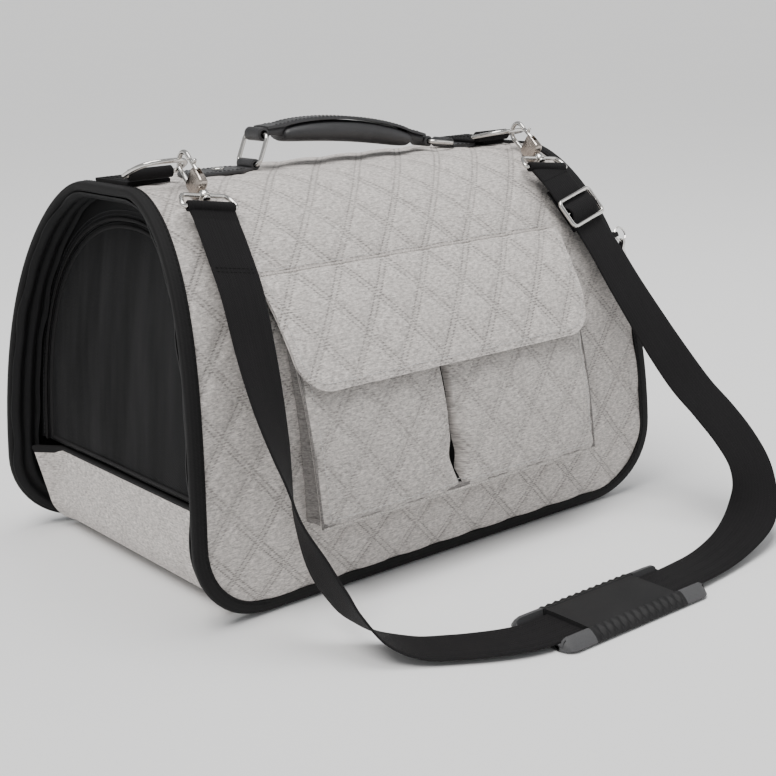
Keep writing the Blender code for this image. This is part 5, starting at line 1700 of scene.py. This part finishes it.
def make_pad(rubber, pale):
    """Moulded shoulder pad: ribbed wings over a channel for the webbing, pale end caps."""
    half = PAD_SIZE / 2
    channel = WEBBING / 2 + 0.0022
    part = Part()
    xs = np.concatenate([
        np.linspace(-half.x, -half.x + 0.012, 8),
        np.linspace(-0.058, 0.058, 117),
        np.linspace(half.x - 0.012, half.x, 8),
    ])

    def width_at(x):
        past = max(abs(x) - (half.x - 0.0095), 0)
        return half.y - 0.0095 + math.sqrt(max(0.0095**2 - past**2, 0.0))

    sections = []
    for x in xs:
        outer = width_at(x)
        ribbed = abs(x) < 0.043
        rib = 0.5 + 0.5 * math.cos(2 * math.pi * x / 0.007) if ribbed else 0.0
        lip = 0.0010 + 0.0016 * (1 - rib)
        groove = 0.0026 * (1 - rib) if ribbed else 0.0
        end = min((half.x - abs(x)) / 0.006, 1)
        high = 0.0040 + 0.0052 * math.sqrt(max(1 - (1 - end) ** 2, 0))
        covered = abs(x) < 0.0445
        inner_high = high - 0.0006 if covered else 0.0039
        crown = inner_high + (0.0003 if covered else 0)
        ring = [(-outer + 0.0014, 0.0006), (-outer, 0.0022)]
        ring += [(-outer + 0.0003 + lip * 0.7, 0.0052 - groove * 0.3)]
        ring += [(-outer + 0.0026 + lip, high - 0.0012 - groove)]
        ring += [(-channel - 0.0022, high - groove * 0.5), (-channel, high)]
        ring += [(-channel + 0.0006, inner_high), (-channel * 0.5, crown)]
        ring += [(-a, b) for a, b in reversed(ring)]
        sections.append([PAD_PLACE + Vector((x, y, z)) for y, z in ring])
    base = part.grid(sections, around=True)
    count = len(sections[0])
    part.cap(range(base, base + count), flip=True)
    part.cap(range(base + (len(sections) - 1) * count, base + len(sections) * count))
    looks = []
    for face in part.faces:
        x = sum(part.points[k][0] for k in face) / len(face) - PAD_PLACE.x
        y = sum(part.points[k][1] for k in face) / len(face) - PAD_PLACE.y
        looks.append(1 if abs(x) > 0.046 and abs(y) > channel - 0.001 else 0)
    part.looks = looks
    pad = part.make("pad_moulding", [rubber, pale], "pad", ["shoulder_pad"], "pad_rubber", sharp=45)
    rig.padded(pad, fill=0.8)
    return pad


# ---------------------------------------------------------------- small fittings kept from the frame
def keep_nodes(metal, tape):
    """Zip sliders and the rim clip keep their CAD shapes, and get finished materials."""
    finish = {"lock_ring_right": metal, "lock_clip_right": metal, "lock_loop_right": tape}
    for end, _ in ENDS:
        finish["zip_slider_" + end] = finish["zip_pull_" + end] = metal
    for name, material in finish.items():
        node = frame["nodes"][name]
        node.data.materials.clear()
        node.data.materials.append(material)


def main():
    make_camera()
    make_studio()
    web = woven_material("webbing_weave", (0.0060, 0.0055, 0.0060), 0.0016, 1.6, 0.5, 0.80, twill=True)
    metal = metal_material("nickel_plate", (0.74, 0.72, 0.69), 0.16)
    warm = metal_material("nickel_body", (0.52, 0.46, 0.41), 0.22)
    black_thread = thread_material("black_thread", (0.008, 0.008, 0.008))
    strap, fittings, middles, length = make_strap(web, metal, black_thread)
    pad = make_pad(rubber_material(), rubber_pale())
    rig.cord(strap, exit=middles[0], length=length, diameter=WEBBING, far_end="object",
            stiffness="medium", lay="loose", path=middles, with_pieces=[*fittings, pad])

    felt = felt_material("quilted_felt", (0.565, 0.528, 0.502), True)
    pocket_felt = felt_material("pocket_felt", (0.520, 0.487, 0.463), True, 0.7)
    band_felt = felt_material("band_felt", (0.60, 0.562, 0.535), True, 0.45)
    # Painted shade: a dark felt for the pocket's walls and side piping.
    wall_felt_painted_shade = felt_material("wall_felt_painted_shade", (0.20, 0.188, 0.180), False)
    smooth_felt = felt_material("smooth_felt", (0.500, 0.466, 0.442), False)
    fleece = felt_material("fleece", (0.50, 0.49, 0.485), False)
    lining = woven_material("lining_cloth", (0.0060, 0.0060, 0.0065), 0.0007, 1.0, 0.35, 0.60)
    tape = woven_material("grosgrain", (0.0085, 0.0082, 0.0085), 0.0010, 3.0, 0.35, 0.72)
    pale_thread = thread_material("pale_thread", (0.66, 0.65, 0.64))
    grey_thread = thread_material("grey_thread", (0.055, 0.055, 0.058))
    leather = leather_material()
    net = mesh_material()
    make_wrap(felt, lining)
    make_binding(tape, black_thread)
    make_base(band_felt, lining, tape)
    for end, side in ENDS:
        make_gusset(end, side, lining)
        make_end(end, side, lining, net, tape, grey_thread)
        make_handle_ring(end, side, metal)
        make_handle_tab(end, side, leather, black_thread)
        make_strap_tab(end, web, black_thread)
        make_strap_ring(end, metal)
        make_hook(end, metal, warm)
    make_pocket(pocket_felt, wall_felt_painted_shade, lining, pale_thread)
    make_flap(felt, lining, pale_thread)
    make_seam(smooth_felt, pale_thread)
    make_mat(fleece)
    make_handle(leather, black_thread)
    make_rivet(metal)
    keep_nodes(metal, tape)


main()
VISUAL_BOX = [[float(c) for c in corner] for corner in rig.bounds()]
with open("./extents.json", "w") as out:
    json.dump({"cad": CAD_BOX, "visual": VISUAL_BOX}, out)
